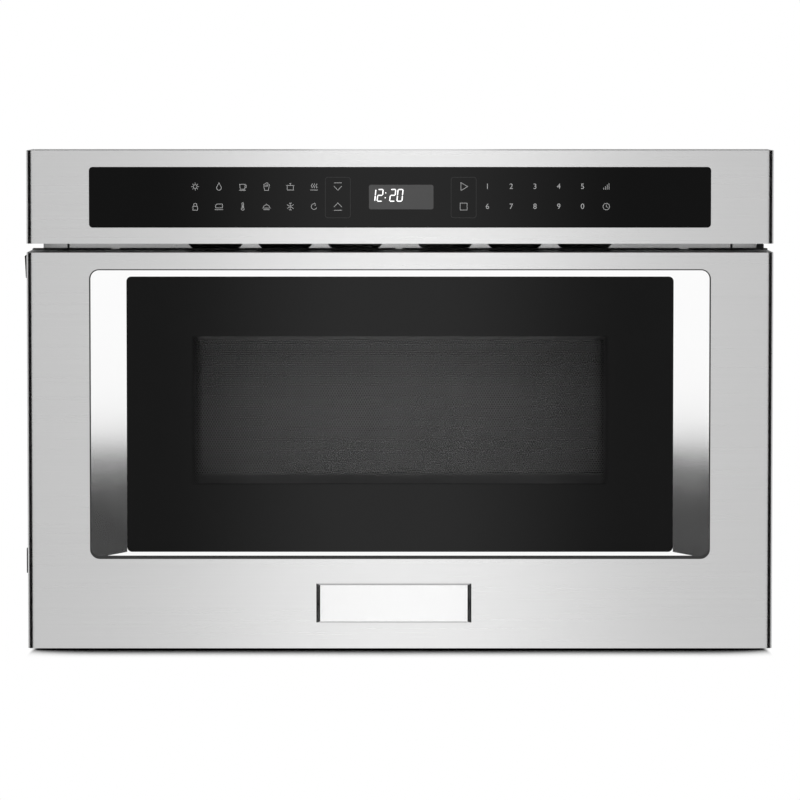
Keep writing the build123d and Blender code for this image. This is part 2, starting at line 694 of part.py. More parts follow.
# Slides. On each side a fixed rail with its bracket holds a middle rail, which holds the moving
# rail with its support arm. Each is a formed channel whose lips catch the next.
fixed_half = 22.5
middle_half = 20.4
moving_half = 15.5
rail_sheet = 1.5
mouth = 258.5
middle_mouth = 260.3
middle_back = 266.8
moving_back = 263.4
rail_start = face_y + 9.0
middle_start = face_y + 11.0
middle_length = 440.0
moving_start = face_y - 1.0
moving_length = 449.0
bracket_length = 450.0
arm_bottom = 63.5
arm_top = 133.0
arm_length = 480.0
post_web_y = face_y - 30.0
for side, hand in ((-1, "left"), (1, "right")):
    with BuildPart() as fixed_rail:
        with BuildSketch(front_plane(rail_start)):
            with Locations((side * (rail_back + 1.0), sheet + 70.0)):
                Rectangle(2.0, 140.0)
            with Locations((side * (rail_back - 7.0), sheet + 1.0)):
                Rectangle(16.0, 2.0)
        extrude(amount=-bracket_length)
        with BuildSketch(side_plane(side * rail_back)):
            with Locations((rail_start + bracket_length / 2, 48.0)):
                with GridLocations(140.0, 0, 3, 1):
                    Rectangle(100.0, 50.0)
        extrude(amount=side * 2.0, mode=Mode.SUBTRACT)
        with BuildSketch(front_plane(rail_start)):
            with Locations((side * (mouth + rail_back) / 2, slide_z)):
                Rectangle(rail_back - mouth, 2 * fixed_half)
            with Locations((side * (mouth + rail_back - rail_sheet) / 2, slide_z)):
                Rectangle(rail_back - mouth - rail_sheet, 2 * (fixed_half - rail_sheet), mode=Mode.SUBTRACT)
            with Locations((side * (mouth + rail_sheet / 2), slide_z)):
                with GridLocations(0, 2 * fixed_half - rail_sheet - 3.0, 1, 2):
                    Rectangle(rail_sheet, rail_sheet + 3.0)
        extrude(amount=-rail_length)
    fixed_rail.part.label = f"fixed_rail_{hand}"
    export_step(fixed_rail.part, f"parts/fixed_rail_{hand}.step")

    with BuildPart() as middle_rail:
        with BuildSketch(front_plane(middle_start)):
            with Locations((side * (middle_mouth + middle_back) / 2, slide_z)):
                Rectangle(middle_back - middle_mouth, 2 * middle_half)
            with Locations((side * (middle_mouth + middle_back - sheet) / 2, slide_z)):
                Rectangle(middle_back - middle_mouth - sheet, 2 * (middle_half - sheet), mode=Mode.SUBTRACT)
            with Locations((side * (middle_mouth + sheet / 2), slide_z)):
                with GridLocations(0, 2 * middle_half - sheet - 2.7, 1, 2):
                    Rectangle(sheet, sheet + 2.7)
        extrude(amount=-middle_length)
    middle_rail.part.label = f"middle_rail_{hand}"
    export_step(middle_rail.part, f"parts/middle_rail_{hand}.step")

    with BuildPart() as moving_rail:
        with BuildSketch(front_plane(moving_start)):
            with Locations((side * (rail_front + moving_back) / 2, slide_z)):
                Rectangle(moving_back - rail_front, 2 * moving_half)
            with Locations((side * (rail_front + rail_sheet + moving_back) / 2, slide_z)):
                Rectangle(moving_back - rail_front - rail_sheet, 2 * (moving_half - rail_sheet), mode=Mode.SUBTRACT)
            with Locations((side * (moving_back - rail_sheet / 2), slide_z)):
                with GridLocations(0, 2 * moving_half + 1.4, 1, 2):
                    Rectangle(rail_sheet, 4.4)
        extrude(amount=-moving_length)
        with BuildSketch(side_plane(side * rail_front)):
            with Locations((post_web_y, arm_bottom)):
                Rectangle(arm_length, arm_top - arm_bottom, align=(Align.MIN, Align.MIN))
            with Locations((post_web_y + arm_length / 2 + 6.0, (arm_bottom + slide_z) / 2 + 0.5)):
                with GridLocations(120.0, 0, 3, 1):
                    Rectangle(80.0, 14.0, mode=Mode.SUBTRACT)
        extrude(amount=-side * arm_thick)
        with BuildSketch(front_plane(post_web_y)):
            with Locations((side * (rail_front + 14.0), (arm_bottom + arm_top) / 2)):
                Rectangle(28.0, arm_top - arm_bottom)
        extrude(amount=-arm_thick)
    moving_rail.part.label = f"moving_rail_{hand}"
    export_step(moving_rail.part, f"parts/moving_rail_{hand}.step")

# Drive rack: a toothed bar along the outer face of the left arm, teeth down, with straight flanks.
rack_start = face_y - 0.5
rack_pitch = pi * gear_module
rack_teeth = 90
rack_line = pinion_z + pinion_radius
rack_root = rack_line + dedendum
rack_top = 76.0
flank = tan(pressure)
tip_half = (rack_pitch / 2 - backlash) / 2 - rack_addendum * flank
root_half = (rack_pitch / 2 - backlash) / 2 + dedendum * flank
first_tooth = pinion_y - (round((pinion_y - rack_start) / rack_pitch) - 0.5) * rack_pitch + rack_pitch
with BuildPart() as drive_rack:
    outline = []
    for tooth in range(rack_teeth):
        tooth_y = first_tooth + rack_pitch * tooth
        outline.append((tooth_y - root_half, rack_root))
        outline.append((tooth_y - tip_half, rack_line - rack_addendum))
        outline.append((tooth_y + tip_half, rack_line - rack_addendum))
        outline.append((tooth_y + root_half, rack_root))
    outline.append((outline[-1][0] + 1.0, rack_root))
    outline.append((outline[-1][0], rack_top))
    outline.append((outline[0][0] - 1.0, rack_top))
    outline.append((outline[0][0] - 1.0, rack_root))
    with BuildSketch(side_plane(-rail_front)):
        with BuildLine():
            Polyline(*outline, close=True)
        make_face()
    extrude(amount=-gear_width)
drive_rack.part.label = "drive_rack"
export_step(drive_rack.part, "parts/drive_rack.step")

# Drive pinion: sixteen involute teeth on a shaft that runs inboard to the gearbox.
base_radius = pinion_radius * cos(pressure)
root_radius = pinion_radius - dedendum
tip_radius = pinion_radius + gear_module - 0.1
half_tooth = pi / (2 * pinion_teeth) - backlash / (2 * pinion_radius)
flank_steps = 4
with BuildPart() as drive_pinion:
    rising = []
    for step in range(flank_steps + 1):
        radius = base_radius + (tip_radius - base_radius) * step / flank_steps
        angle = acos(min(1.0, base_radius / radius))
        spread = half_tooth + (tan(pressure) - pressure) - (tan(angle) - angle)
        rising.append((radius, spread))
    rising.insert(0, (root_radius, rising[0][1]))
    profile = []
    for tooth in range(pinion_teeth):
        centre = pi / 2 + 2 * pi * tooth / pinion_teeth
        for radius, spread in rising:
            profile.append((radius * cos(centre - spread), radius * sin(centre - spread)))
        for radius, spread in reversed(rising):
            profile.append((radius * cos(centre + spread), radius * sin(centre + spread)))
    with BuildSketch(Plane(origin=(-rail_front, pinion_y, pinion_z), x_dir=(0, 1, 0), z_dir=(1, 0, 0))):
        with BuildLine():
            Polyline(*profile, close=True)
        make_face()
    extrude(amount=-gear_width)
    with BuildSketch(side_plane(-rail_front - gear_width)):
        with Locations((pinion_y, pinion_z)):
            Circle(4.0)
    extrude(amount=gear_width + 22.0)
drive_pinion.part.label = "drive_pinion"
export_step(drive_pinion.part, "parts/drive_pinion.step")

# Drive gearbox on the base pan, its bore a running fit on the shaft, and the motor that drives it.
gearbox_x = -251.0
gearbox_width = 32.0
with BuildPart() as drive_gearbox:
    with BuildSketch(side_plane(gearbox_x)):
        with Locations((pinion_y + 6.0, 38.0)):
            RectangleRounded(60.0, 70.0, 12.0)
    extrude(amount=gearbox_width)
    with BuildSketch(Plane.XY.offset(sheet)):
        with Locations((gearbox_x + gearbox_width / 2, pinion_y + 6.0)):
            Rectangle(gearbox_width, 60.0)
    extrude(amount=12.0)
    with BuildSketch(side_plane(gearbox_x)):
        with Locations((pinion_y, pinion_z)):
            Circle(4.05)
    extrude(amount=18.0, mode=Mode.SUBTRACT)
drive_gearbox.part.label = "drive_gearbox"
export_step(drive_gearbox.part, "parts/drive_gearbox.step")

with BuildPart() as drive_motor:
    with BuildSketch(side_plane(gearbox_x + gearbox_width)):
        with Locations((pinion_y + 12.0, 40.0)):
            Circle(18.0)
    extrude(amount=54.0)
    with BuildSketch(side_plane(gearbox_x + gearbox_width + 54.0)):
        with Locations((pinion_y + 12.0, 40.0)):
            Circle(8.0)
    extrude(amount=4.0)
    chamfer(drive_motor.edges().filter_by(GeomType.CIRCLE).group_by(Axis.X)[-2].sort_by(SortBy.RADIUS)[-1:], 2.0)
drive_motor.part.label = "drive_motor"
export_step(drive_motor.part, "parts/drive_motor.step")

# Latch hooks on the drawer front and, behind the front plate, the interlocks that they enter.
hook_reach = 28.0
for side, hand in ((-1, "left"), (1, "right")):
    with BuildPart() as latch_hook:
        with BuildSketch(front_plane(door_back_y - sheet)):
            with Locations((side * hook_x, hook_z)):
                Rectangle(12.0, 30.0)
        extrude(amount=2.0)
        with BuildSketch(side_plane(side * hook_x - 1.5)):
            with BuildLine():
                Polyline(
                    (door_back_y - sheet, hook_z - 10.0),
                    (door_back_y + hook_reach - 6.0, hook_z - 10.0),
                    (door_back_y + hook_reach, hook_z - 4.0),
                    (door_back_y + hook_reach, hook_z + 10.0),
                    (door_back_y + hook_reach - 8.0, hook_z + 10.0),
                    (door_back_y + hook_reach - 8.0, hook_z + 4.0),
                    (door_back_y - sheet, hook_z + 4.0),
                    close=True,
                )
            make_face()
        extrude(amount=3.0)
    latch_hook.part.label = f"latch_hook_{hand}"
    export_step(latch_hook.part, f"parts/latch_hook_{hand}.step")

    with BuildPart() as interlock:
        with BuildSketch(front_plane(face_y)):
            with Locations((side * hook_x, hook_z)):
                Rectangle(18.0, 46.0)
        extrude(amount=-44.0)
        with BuildSketch(front_plane(face_y)):
            with Locations((side * hook_x, hook_z)):
                Rectangle(8.0, 28.0)
        extrude(amount=-34.0, mode=Mode.SUBTRACT)
        with BuildSketch(Plane.XY.offset(hook_z + 23.0)):
            with Locations((side * hook_x, face_y + 24.0)):
                Rectangle(10.0, 28.0)
        extrude(amount=16.0)
        with BuildSketch(Plane.XY.offset(hook_z + 39.0)):
            with Locations((side * hook_x, face_y + 24.0)):
                with GridLocations(0, 10.0, 1, 3):
                    Rectangle(4.0, 0.8)
        extrude(amount=7.0)
    interlock.part.label = f"interlock_{hand}"
    export_step(interlock.part, f"parts/interlock_{hand}.step")

# Drawer front skin: a deep steel pan with rolled side edges and the bezel opening.
skin_depth = door_back_y - front_y
door_z = door_bottom + door_height / 2
with BuildPart() as door_skin:
    with BuildSketch(front_plane(door_back_y)):
        with Locations((0, door_z)):
            Rectangle(front_width, door_height)
    extrude(amount=skin_depth)
    rolled = door_skin.faces().sort_by(Axis.Y)[0].edges().filter_by(Axis.Z)
    fillet(rolled, edge_bend)
    offset(amount=-sheet, openings=door_skin.faces().sort_by(Axis.Y)[-1])
    with BuildSketch(front_plane(front_y)):
        with Locations((0, opening_z)):
            RectangleRounded(opening_width, opening_height, 8.0)
    extrude(amount=-sheet, mode=Mode.SUBTRACT)
door_skin.part.label = "door_skin"
export_step(door_skin.part, "parts/door_skin.step")

# Top trim: a black strip along the rear top edge of the drawer front, its bead broken at three places.
bead_ends = (-front_width / 2, -238.4, -231.5, -3.6, 2.1, 230.7, 238.3, front_width / 2)
trim_base = 0.4
bead_rise = 1.3
with BuildPart() as top_trim:
    with BuildSketch(front_plane(door_back_y)):
        with Locations((0, door_top + trim_base / 2)):
            Rectangle(front_width, trim_base)
        for start, end in zip(bead_ends[::2], bead_ends[1::2]):
            with Locations(((start + end) / 2, door_top + bead_rise / 2)):
                Rectangle(end - start, bead_rise)
    extrude(amount=5.0)
    ends = top_trim.edges().filter_by(Axis.Y).group_by(Axis.Z)[-1]
    fillet(ends, 0.7)
top_trim.part.label = "top_trim"
export_step(top_trim.part, "parts/top_trim.step")

# Chrome bezel: a mitred frame behind the opening of the skin, whose four faces slope back to the glass.
bezel_lap = 2.0
bezel_rim = 0.8
bezel_front = front_y + sheet
glass_y = front_y + bezel_depth
with BuildPart() as chrome_bezel:
    with BuildSketch(front_plane(bezel_front)):
        with Locations((0, opening_z)):
            Rectangle(opening_width + 2 * bezel_lap, opening_height + 2 * bezel_lap)
        with Locations((0, glass_z)):
            RectangleRounded(glass_width, glass_height, 4.0, mode=Mode.SUBTRACT)
    extrude(amount=bezel_front - glass_y)
    with BuildSketch(front_plane(bezel_front)):
        with Locations((0, opening_z)):
            Rectangle(opening_width, opening_height)
    with BuildSketch(front_plane(glass_y - bezel_rim)):
        with Locations((0, glass_z)):
            Rectangle(glass_width, glass_height)
    loft(ruled=True, mode=Mode.SUBTRACT)
chrome_bezel.part.label = "chrome_bezel"
export_step(chrome_bezel.part, "parts/chrome_bezel.step")

# Door glass behind the bezel, held in a plastic carrier that rests on the choke plate.
glass_thick = 4.0
choke_y = door_back_y - 18.8
with BuildPart() as door_glass:
    with BuildSketch(front_plane(glass_y)):
        with Locations((0, glass_z)):
            RectangleRounded(glass_width + 16.0, glass_height + 16.0, 6.0)
    extrude(amount=-glass_thick)
door_glass.part.label = "door_glass"
export_step(door_glass.part, "parts/door_glass.step")

carrier_wall = 2.0
with BuildPart() as glass_carrier:
    with BuildSketch(front_plane(glass_y)):
        with Locations((0, glass_z)):
            RectangleRounded(glass_width + 20.0, glass_height + 20.0, 8.0)
            RectangleRounded(glass_width + 16.0, glass_height + 16.0, 6.0, mode=Mode.SUBTRACT)
    extrude(amount=glass_y - choke_y)
    with BuildSketch(front_plane(glass_y + glass_thick)):
        with Locations((0, glass_z)):
            RectangleRounded(glass_width + 20.0, glass_height + 20.0, 8.0)
        with Locations((0, window_z)):
            Rectangle(window_width + 12.0, window_height + 12.0, mode=Mode.SUBTRACT)
    extrude(amount=-carrier_wall)
    with BuildSketch(front_plane(glass_y + glass_thick)):
        with Locations((0, window_z)):
            Rectangle(window_width + 16.0, window_height + 16.0)
            Rectangle(window_width + 12.0, window_height + 12.0, mode=Mode.SUBTRACT)
    extrude(amount=glass_y + glass_thick - choke_y)
glass_carrier.part.label = "glass_carrier"
export_step(glass_carrier.part, "parts/glass_carrier.step")

# Perforated screen: a plain thin plate in the carrier's window, against the choke plate.
with BuildPart() as door_screen:
    with BuildSketch(front_plane(choke_y)):
        with Locations((0, window_z)):
            Rectangle(window_width + 11.0, window_height + 11.0)
    extrude(amount=1.0)
door_screen.part.label = "door_screen"
export_step(door_screen.part, "parts/door_screen.step")

# Choke: a pressed steel tub whose ring channel faces the front plate around the cavity opening.
choke_depth = door_back_y - sheet - choke_y
channel_inner = cavity_half + 2.0
choke_wall = 1.0
with BuildPart() as door_choke:
    with BuildSketch(front_plane(choke_y)):
        with Locations((0, choke_z)):
            Rectangle(2 * choke_half, choke_height)
        with Locations((0, window_z)):
            Rectangle(window_width + 4.0, window_height + 4.0, mode=Mode.SUBTRACT)
    extrude(amount=-choke_wall)
    with BuildSketch(front_plane(choke_y)):
        with Locations((0, choke_z)):
            Rectangle(2 * choke_half, choke_height)
            Rectangle(2 * (choke_half - choke_wall), choke_height - 2 * choke_wall, mode=Mode.SUBTRACT)
        with Locations((0, cavity_z)):
            Rectangle(2 * (channel_inner + choke_wall), cavity_height + 4.0 + 2 * choke_wall)
            Rectangle(2 * channel_inner, cavity_height + 4.0, mode=Mode.SUBTRACT)
    extrude(amount=-choke_depth)
door_choke.part.label = "door_choke"
export_step(door_choke.part, "parts/door_choke.step")

# Choke cover: a plastic ring clipped over the channel.
with BuildPart() as choke_cover:
    with BuildSketch(front_plane(door_back_y)):
        with Locations((0, choke_z)):
            Rectangle(2 * choke_half, choke_height)
        with Locations((0, cavity_z)):
            Rectangle(2 * channel_inner, cavity_height + 4.0, mode=Mode.SUBTRACT)
    extrude(amount=sheet)
    fillet(choke_cover.edges().filter_by(Axis.Y), 3.0)
choke_cover.part.label = "choke_cover"
export_step(choke_cover.part, "parts/choke_cover.step")

with BuildPart() as inner_window:
    with BuildSketch(front_plane(choke_y + choke_wall)):
        with Locations((0, window_z)):
            RectangleRounded(window_width + 30.0, window_height + 12.0, 6.0)
    extrude(amount=-3.0)
inner_window.part.label = "inner_window"
export_step(inner_window.part, "parts/inner_window.step")

# Inner panel: the sheet that closes the back of the drawer front around the choke, with slots for
# the arms and the hooks.
slot_gap = 0.4
with BuildPart() as inner_panel:
    with BuildSketch(front_plane(door_back_y)):
        with Locations((0, door_z)):
            Rectangle(front_width - 2 * sheet, door_height - 2 * sheet)
        with Locations((0, choke_z)):
            Rectangle(2 * choke_half, choke_height, mode=Mode.SUBTRACT)
        for side in (-1, 1):
            with Locations((side * (rail_front - arm_thick / 2), (arm_bottom + arm_top) / 2)):
                Rectangle(arm_thick + 2 * slot_gap, arm_top - arm_bottom + 2 * slot_gap, mode=Mode.SUBTRACT)
            with Locations((side * hook_x, hook_z)):
                Rectangle(3.0 + 2 * slot_gap, 20.0 + 2 * slot_gap, mode=Mode.SUBTRACT)
    extrude(amount=sheet)
inner_panel.part.label = "inner_panel"
export_step(inner_panel.part, "parts/inner_panel.step")

# Door frame: two steel channels that the arms are bolted to, joined by a third across the foot.
post_inner = 254.0
post_outer = 298.0
post_bottom = 14.0
post_top = 308.0
post_width = post_outer - post_inner
post_depth = 40.0
post_y = post_web_y - post_depth / 2
cross_height = 34.0
with BuildPart() as door_frame:
    with BuildSketch(Plane.XY.offset(post_bottom)):
        for side in (-1, 1):
            with Locations((side * (post_inner + post_outer) / 2, post_y)):
                Rectangle(post_width, post_depth)
            with Locations((side * (post_inner + post_outer) / 2, post_y - rail_sheet)):
                Rectangle(post_width - 2 * rail_sheet, post_depth, mode=Mode.SUBTRACT)
    extrude(amount=post_top - post_bottom)
    with BuildSketch(side_plane(-post_inner)):
        with Locations((post_y, post_bottom + cross_height / 2)):
            Rectangle(post_depth, cross_height)
        with Locations((post_y - rail_sheet, post_bottom + cross_height / 2)):
            Rectangle(post_depth, cross_height - 2 * rail_sheet, mode=Mode.SUBTRACT)
    extrude(amount=2 * post_inner)
door_frame.part.label = "door_frame"
export_step(door_frame.part, "parts/door_frame.step")

# Badge plate: a raised blank plate with bevelled edges near the foot of the drawer front.
badge_x = -5.0
badge_z = door_bottom + 37.0
badge_width = 126.3
badge_height = 32.0
badge_rise = 2.5
with BuildPart() as badge_plate:
    with BuildSketch(front_plane(front_y)):
        with Locations((badge_x, badge_z)):
            Rectangle(badge_width, badge_height)
    with BuildSketch(front_plane(front_y - badge_rise)):
        with Locations((badge_x, badge_z)):
            Rectangle(badge_width - 6.4, badge_height - 2.4)
    loft(ruled=True)
badge_plate.part.label = "badge_plate"
export_step(badge_plate.part, "parts/badge_plate.step")

# Edge clips on the left side of the drawer front: a wedge near the top and a rounded bar lower down.
clip_y = front_y + 16.0
with BuildPart() as edge_clip_upper:
    with BuildSketch(front_plane(clip_y)):
        with BuildLine():
            Polyline(
                (-front_width / 2, door_bottom + 320.8),
                (-front_width / 2 - 1.8, door_bottom + 319.4),
                (-front_width / 2 - 0.9, door_bottom + 301.6),
                (-front_width / 2, door_bottom + 301.6),
                close=True,
            )
        make_face()
    extrude(amount=8.0)
edge_clip_upper.part.label = "edge_clip_upper"
export_step(edge_clip_upper.part, "parts/edge_clip_upper.step")

with BuildPart() as edge_clip_lower:
    with BuildSketch(side_plane(-front_width / 2)):
        with Locations((clip_y - 4.0, door_bottom + 70.9)):
            SlotOverall(20.7, 6.0, rotation=90)
    extrude(amount=-1.3)
edge_clip_lower.part.label = "edge_clip_lower"
export_step(edge_clip_lower.part, "parts/edge_clip_lower.step")

# Drawer basin: a steel box with rounded rear corners, open at the top and against the inner window.
basin_half = 220.0
basin_bottom = 82.0
basin_top = 236.0
basin_front = choke_y + choke_wall
basin_back = cavity_back - 13.0
with BuildPart() as drawer_basin:
    with BuildSketch(Plane.XY.offset(basin_bottom)):
        with Locations((0, (basin_front + basin_back) / 2)):
            Rectangle(2 * basin_half, basin_back - basin_front)
    extrude(amount=basin_top - basin_bottom)
    fillet(drawer_basin.edges().filter_by(Axis.Z).group_by(Axis.Y)[-1], 16.0)
    top_and_front = [drawer_basin.faces().sort_by(Axis.Z)[-1], drawer_basin.faces().sort_by(Axis.Y)[0]]
    offset(amount=-sheet, openings=top_and_front)
drawer_basin.part.label = "drawer_basin"
export_step(drawer_basin.part, "parts/drawer_basin.step")

# Glass shelf: the flat plate on the floor of the basin that dishes stand on.
shelf_front = basin_front + 8.0
shelf_back = basin_back - sheet - 2.0
with BuildPart() as glass_shelf:
    with BuildSketch(Plane.XY.offset(basin_bottom + sheet)):
        with Locations((0, (shelf_front + shelf_back) / 2)):
            RectangleRounded(2 * (basin_half - sheet - 2.0), shelf_back - shelf_front, 14.0)
    extrude(amount=5.0)
    chamfer(glass_shelf.faces().sort_by(Axis.Z)[-1].edges(), 1.0)
glass_shelf.part.label = "glass_shelf"
export_step(glass_shelf.part, "parts/glass_shelf.step")

# Screws: hexagon heads that hold the inner panel to the drawer front, and those of the rear panel.
with BuildPart() as inner_panel_screws:
    with BuildSketch(front_plane(door_back_y)):
        with Locations((0, door_z)):
            with GridLocations(584.0, 140.0, 2, 3):
                RegularPolygon(3.5, 6)
            with GridLocations(180.0, 298.0, 3, 2):
                RegularPolygon(3.5, 6)
    extrude(amount=-1.0)
inner_panel_screws.part.label = "inner_panel_screws"
export_step(inner_panel_screws.part, "parts/inner_panel_screws.step")

with BuildPart() as rear_panel_screws:
    with BuildSketch(front_plane(rear_y)):
        with Locations((0, body_height / 2)):
            with GridLocations(536.0, 170.0, 2, 3):
                RegularPolygon(4.0, 6)
            with GridLocations(180.0, 350.0, 3, 2):
                RegularPolygon(4.0, 6)
    extrude(amount=-1.8)
rear_panel_screws.part.label = "rear_panel_screws"
export_step(rear_panel_screws.part, "parts/rear_panel_screws.step")
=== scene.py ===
from math import atan2, cos, pi, radians, sin, sqrt

import bmesh
import bpy
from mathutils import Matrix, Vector


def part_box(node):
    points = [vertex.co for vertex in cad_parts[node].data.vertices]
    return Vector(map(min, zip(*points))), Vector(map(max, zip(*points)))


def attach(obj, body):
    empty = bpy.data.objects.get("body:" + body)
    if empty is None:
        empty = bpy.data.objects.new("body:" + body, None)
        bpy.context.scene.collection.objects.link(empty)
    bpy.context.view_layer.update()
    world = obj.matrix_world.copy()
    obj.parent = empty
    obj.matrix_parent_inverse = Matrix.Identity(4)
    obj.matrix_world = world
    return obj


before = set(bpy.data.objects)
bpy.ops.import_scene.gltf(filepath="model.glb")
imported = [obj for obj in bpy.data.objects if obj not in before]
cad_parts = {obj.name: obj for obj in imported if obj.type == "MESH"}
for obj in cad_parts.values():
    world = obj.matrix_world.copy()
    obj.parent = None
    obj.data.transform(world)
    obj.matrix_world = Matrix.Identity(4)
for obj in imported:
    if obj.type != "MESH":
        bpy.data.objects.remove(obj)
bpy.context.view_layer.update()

# Camera: straight in front of the drawer, a little above it and far away, with a long lens, so that the
# tops of the two fronts and the plate between them just show.
skin_low, skin_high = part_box("door_skin")
front_y = skin_low.y
front_half = skin_high.x
camera_distance = 4.159
camera_height = 0.465
aim_height = 0.2035
camera_data = bpy.data.cameras.new("camera")
camera_data.lens = 230.8
camera_data.sensor_width = 36.0
camera_data.clip_end = 100.0
camera = bpy.data.objects.new("camera", camera_data)
camera.location = (0.0, front_y - camera_distance, camera_height)
camera.rotation_euler = (pi / 2 - atan2(camera_height - aim_height, camera_distance), 0.0, 0.0)
bpy.context.scene.collection.objects.link(camera)
bpy.context.scene.camera = camera
bpy.context.scene.view_settings.view_transform = "Standard"


# Room: a white studio all round. The camera, polished metal and glass see it as plain white, and its
# own light on the object is a little lower.
def calculate(tree, operation, *values):
    """The result of one Math node on numbers or sockets."""
    step = tree.nodes.new("ShaderNodeMath")
    step.operation = operation
    for socket, value in zip(step.inputs, values):
        if isinstance(value, (int, float)):
            socket.default_value = value
        else:
            tree.links.new(value, socket)
    return step.outputs[0]


def ramp(tree, value, start, end, low, high, shape="SMOOTHSTEP"):
    """A value that goes from low to high while another one goes from start to end."""
    step = tree.nodes.new("ShaderNodeMapRange")
    step.interpolation_type = shape
    step.inputs["From Min"].default_value = start
    step.inputs["From Max"].default_value = end
    step.inputs["To Min"].default_value = low
    step.inputs["To Max"].default_value = high
    tree.links.new(value, step.inputs["Value"])
    return step.outputs["Result"]


def background_rays(tree):
    """A value that is 1 for the rays that should see plain white: camera, glossy and transmission."""
    path = tree.nodes.new("ShaderNodeLightPath").outputs
    camera_or_glossy = calculate(tree, "MAXIMUM", path["Is Camera Ray"], path["Is Glossy Ray"])
    return calculate(tree, "MAXIMUM", camera_or_glossy, path["Is Transmission Ray"])


room_light = 0.55
room = bpy.data.worlds.new("room")
room.use_nodes = True
tree = room.node_tree
room_glow = tree.nodes["Background"]
room_glow.inputs["Color"].default_value = (1.0, 1.0, 1.0, 1.0)
room_level = ramp(tree, background_rays(tree), 0.0, 1.0, room_light, 1.0)
tree.links.new(room_level, room_glow.inputs["Strength"])
bpy.context.scene.world = room


# Floor: a white table under the drawer. Camera rays see it as plain white with a painted shadow, which an
# occlusion node darkens within the last few centimetres of the drawer and which fades out beside the drawer
# front. Polished metal sees the room in its place, which is as white.
def place_on(tree):
    """The place on the object along X and Z, in metres, as two sockets."""
    place = tree.nodes.new("ShaderNodeTexCoord")
    split = tree.nodes.new("ShaderNodeSeparateXYZ")
    tree.links.new(place.outputs["Object"], split.inputs["Vector"])
    return split.outputs["X"], split.outputs["Z"]


floor_half = 8.0
shadow_reach = 0.072
deep_shadow = 0.60
no_shadow = 0.96
floor_mesh = bpy.data.meshes.new("floor")
floor_corners = [(-floor_half, -floor_half, 0), (floor_half, -floor_half, 0)]
floor_corners += [(floor_half, floor_half, 0), (-floor_half, floor_half, 0)]
floor_mesh.from_pydata(floor_corners, [], [(0, 1, 2, 3)])
floor = bpy.data.objects.new("floor", floor_mesh)
bpy.context.scene.collection.objects.link(floor)
floor.visible_glossy = False

floor_paint = bpy.data.materials.new("floor_white")
floor_paint.use_nodes = True
tree = floor_paint.node_tree
paint = tree.nodes["Principled BSDF"]
paint.inputs["Base Color"].default_value = (0.8, 0.8, 0.8, 1.0)
paint.inputs["Roughness"].default_value = 0.9
paint.inputs["Specular IOR Level"].default_value = 0.0
# Painted shadow: an occlusion node darkens the white that camera rays see, close to the drawer.
painted_shadow_occlusion = tree.nodes.new("ShaderNodeAmbientOcclusion")
painted_shadow_occlusion.inputs["Distance"].default_value = shadow_reach
painted_shadow_occlusion.samples = 16
outside_painted_shadow = ramp(tree, painted_shadow_occlusion.outputs["AO"], deep_shadow, no_shadow, 0.0, 1.0)
# Beside the drawer front the painted shadow is left out.
off_middle = calculate(tree, "ABSOLUTE", place_on(tree)[0])
beside = ramp(tree, off_middle, front_half - 0.0077, front_half - 0.0022, 0.0, 1.0)
white = tree.nodes.new("ShaderNodeEmission")
white_or_lit = tree.nodes.new("ShaderNodeMixShader")
tree.links.new(calculate(tree, "MAXIMUM", outside_painted_shadow, beside), white.inputs["Strength"])
tree.links.new(background_rays(tree), white_or_lit.inputs["Fac"])
tree.links.new(paint.outputs["BSDF"], white_or_lit.inputs[1])
tree.links.new(white.outputs["Emission"], white_or_lit.inputs[2])
tree.links.new(white_or_lit.outputs["Shader"], tree.nodes["Material Output"].inputs["Surface"])
floor_mesh.materials.append(floor_paint)


# Lamps: two large soft boxes above, left and right of the camera. They light the paint and plastic
# and aren't mirrored in the metal, which shows the white room and the cards below.
lamp_power = 45.0
lamp_size = 1.6
lamp_beside = 1.8
lamp_before = -3.0
lamp_height = 2.2
lamp_aim = Vector((0.0, -0.2, 0.2))
for side in (-1, 1):
    lamp_data = bpy.data.lights.new(f"soft_box_{side}", "AREA")
    lamp_data.size = lamp_size
    lamp_data.energy = lamp_power
    lamp = bpy.data.objects.new(f"soft_box_{side}", lamp_data)
    lamp.location = (side * lamp_beside, lamp_before, lamp_height)
    lamp.rotation_euler = (lamp_aim - lamp.location).to_track_quat("-Z", "Y").to_euler()
    lamp.visible_glossy = False
    bpy.context.scene.collection.objects.link(lamp)


# Highlight: tall strip lights in front of the middle of the drawer, brightest along their own middle. One
# is flagged so that it only reaches the steel, the other, stronger one so that it only reaches the glass.
# Their cards run on unlit to the right, which keeps the seam between a card's two triangles out of sight.
def upright_card(name, paper, line, bottom, top):
    """An upright card that follows a line in X and Y, and that only mirrors see."""
    corners = [(x, y, bottom) for x, y in line] + [(x, y, top) for x, y in line]
    count = len(line)
    mesh = bpy.data.meshes.new(name)
    mesh.from_pydata(corners, [], [(k, k + 1, count + k + 1, count + k) for k in range(count - 1)])
    mesh.materials.append(paper)
    card = bpy.data.objects.new(name, mesh)
    card.visible_camera = False
    card.visible_diffuse = False
    card.visible_shadow = False
    card.visible_volume_scatter = False
    bpy.context.scene.collection.objects.link(card)
    return card


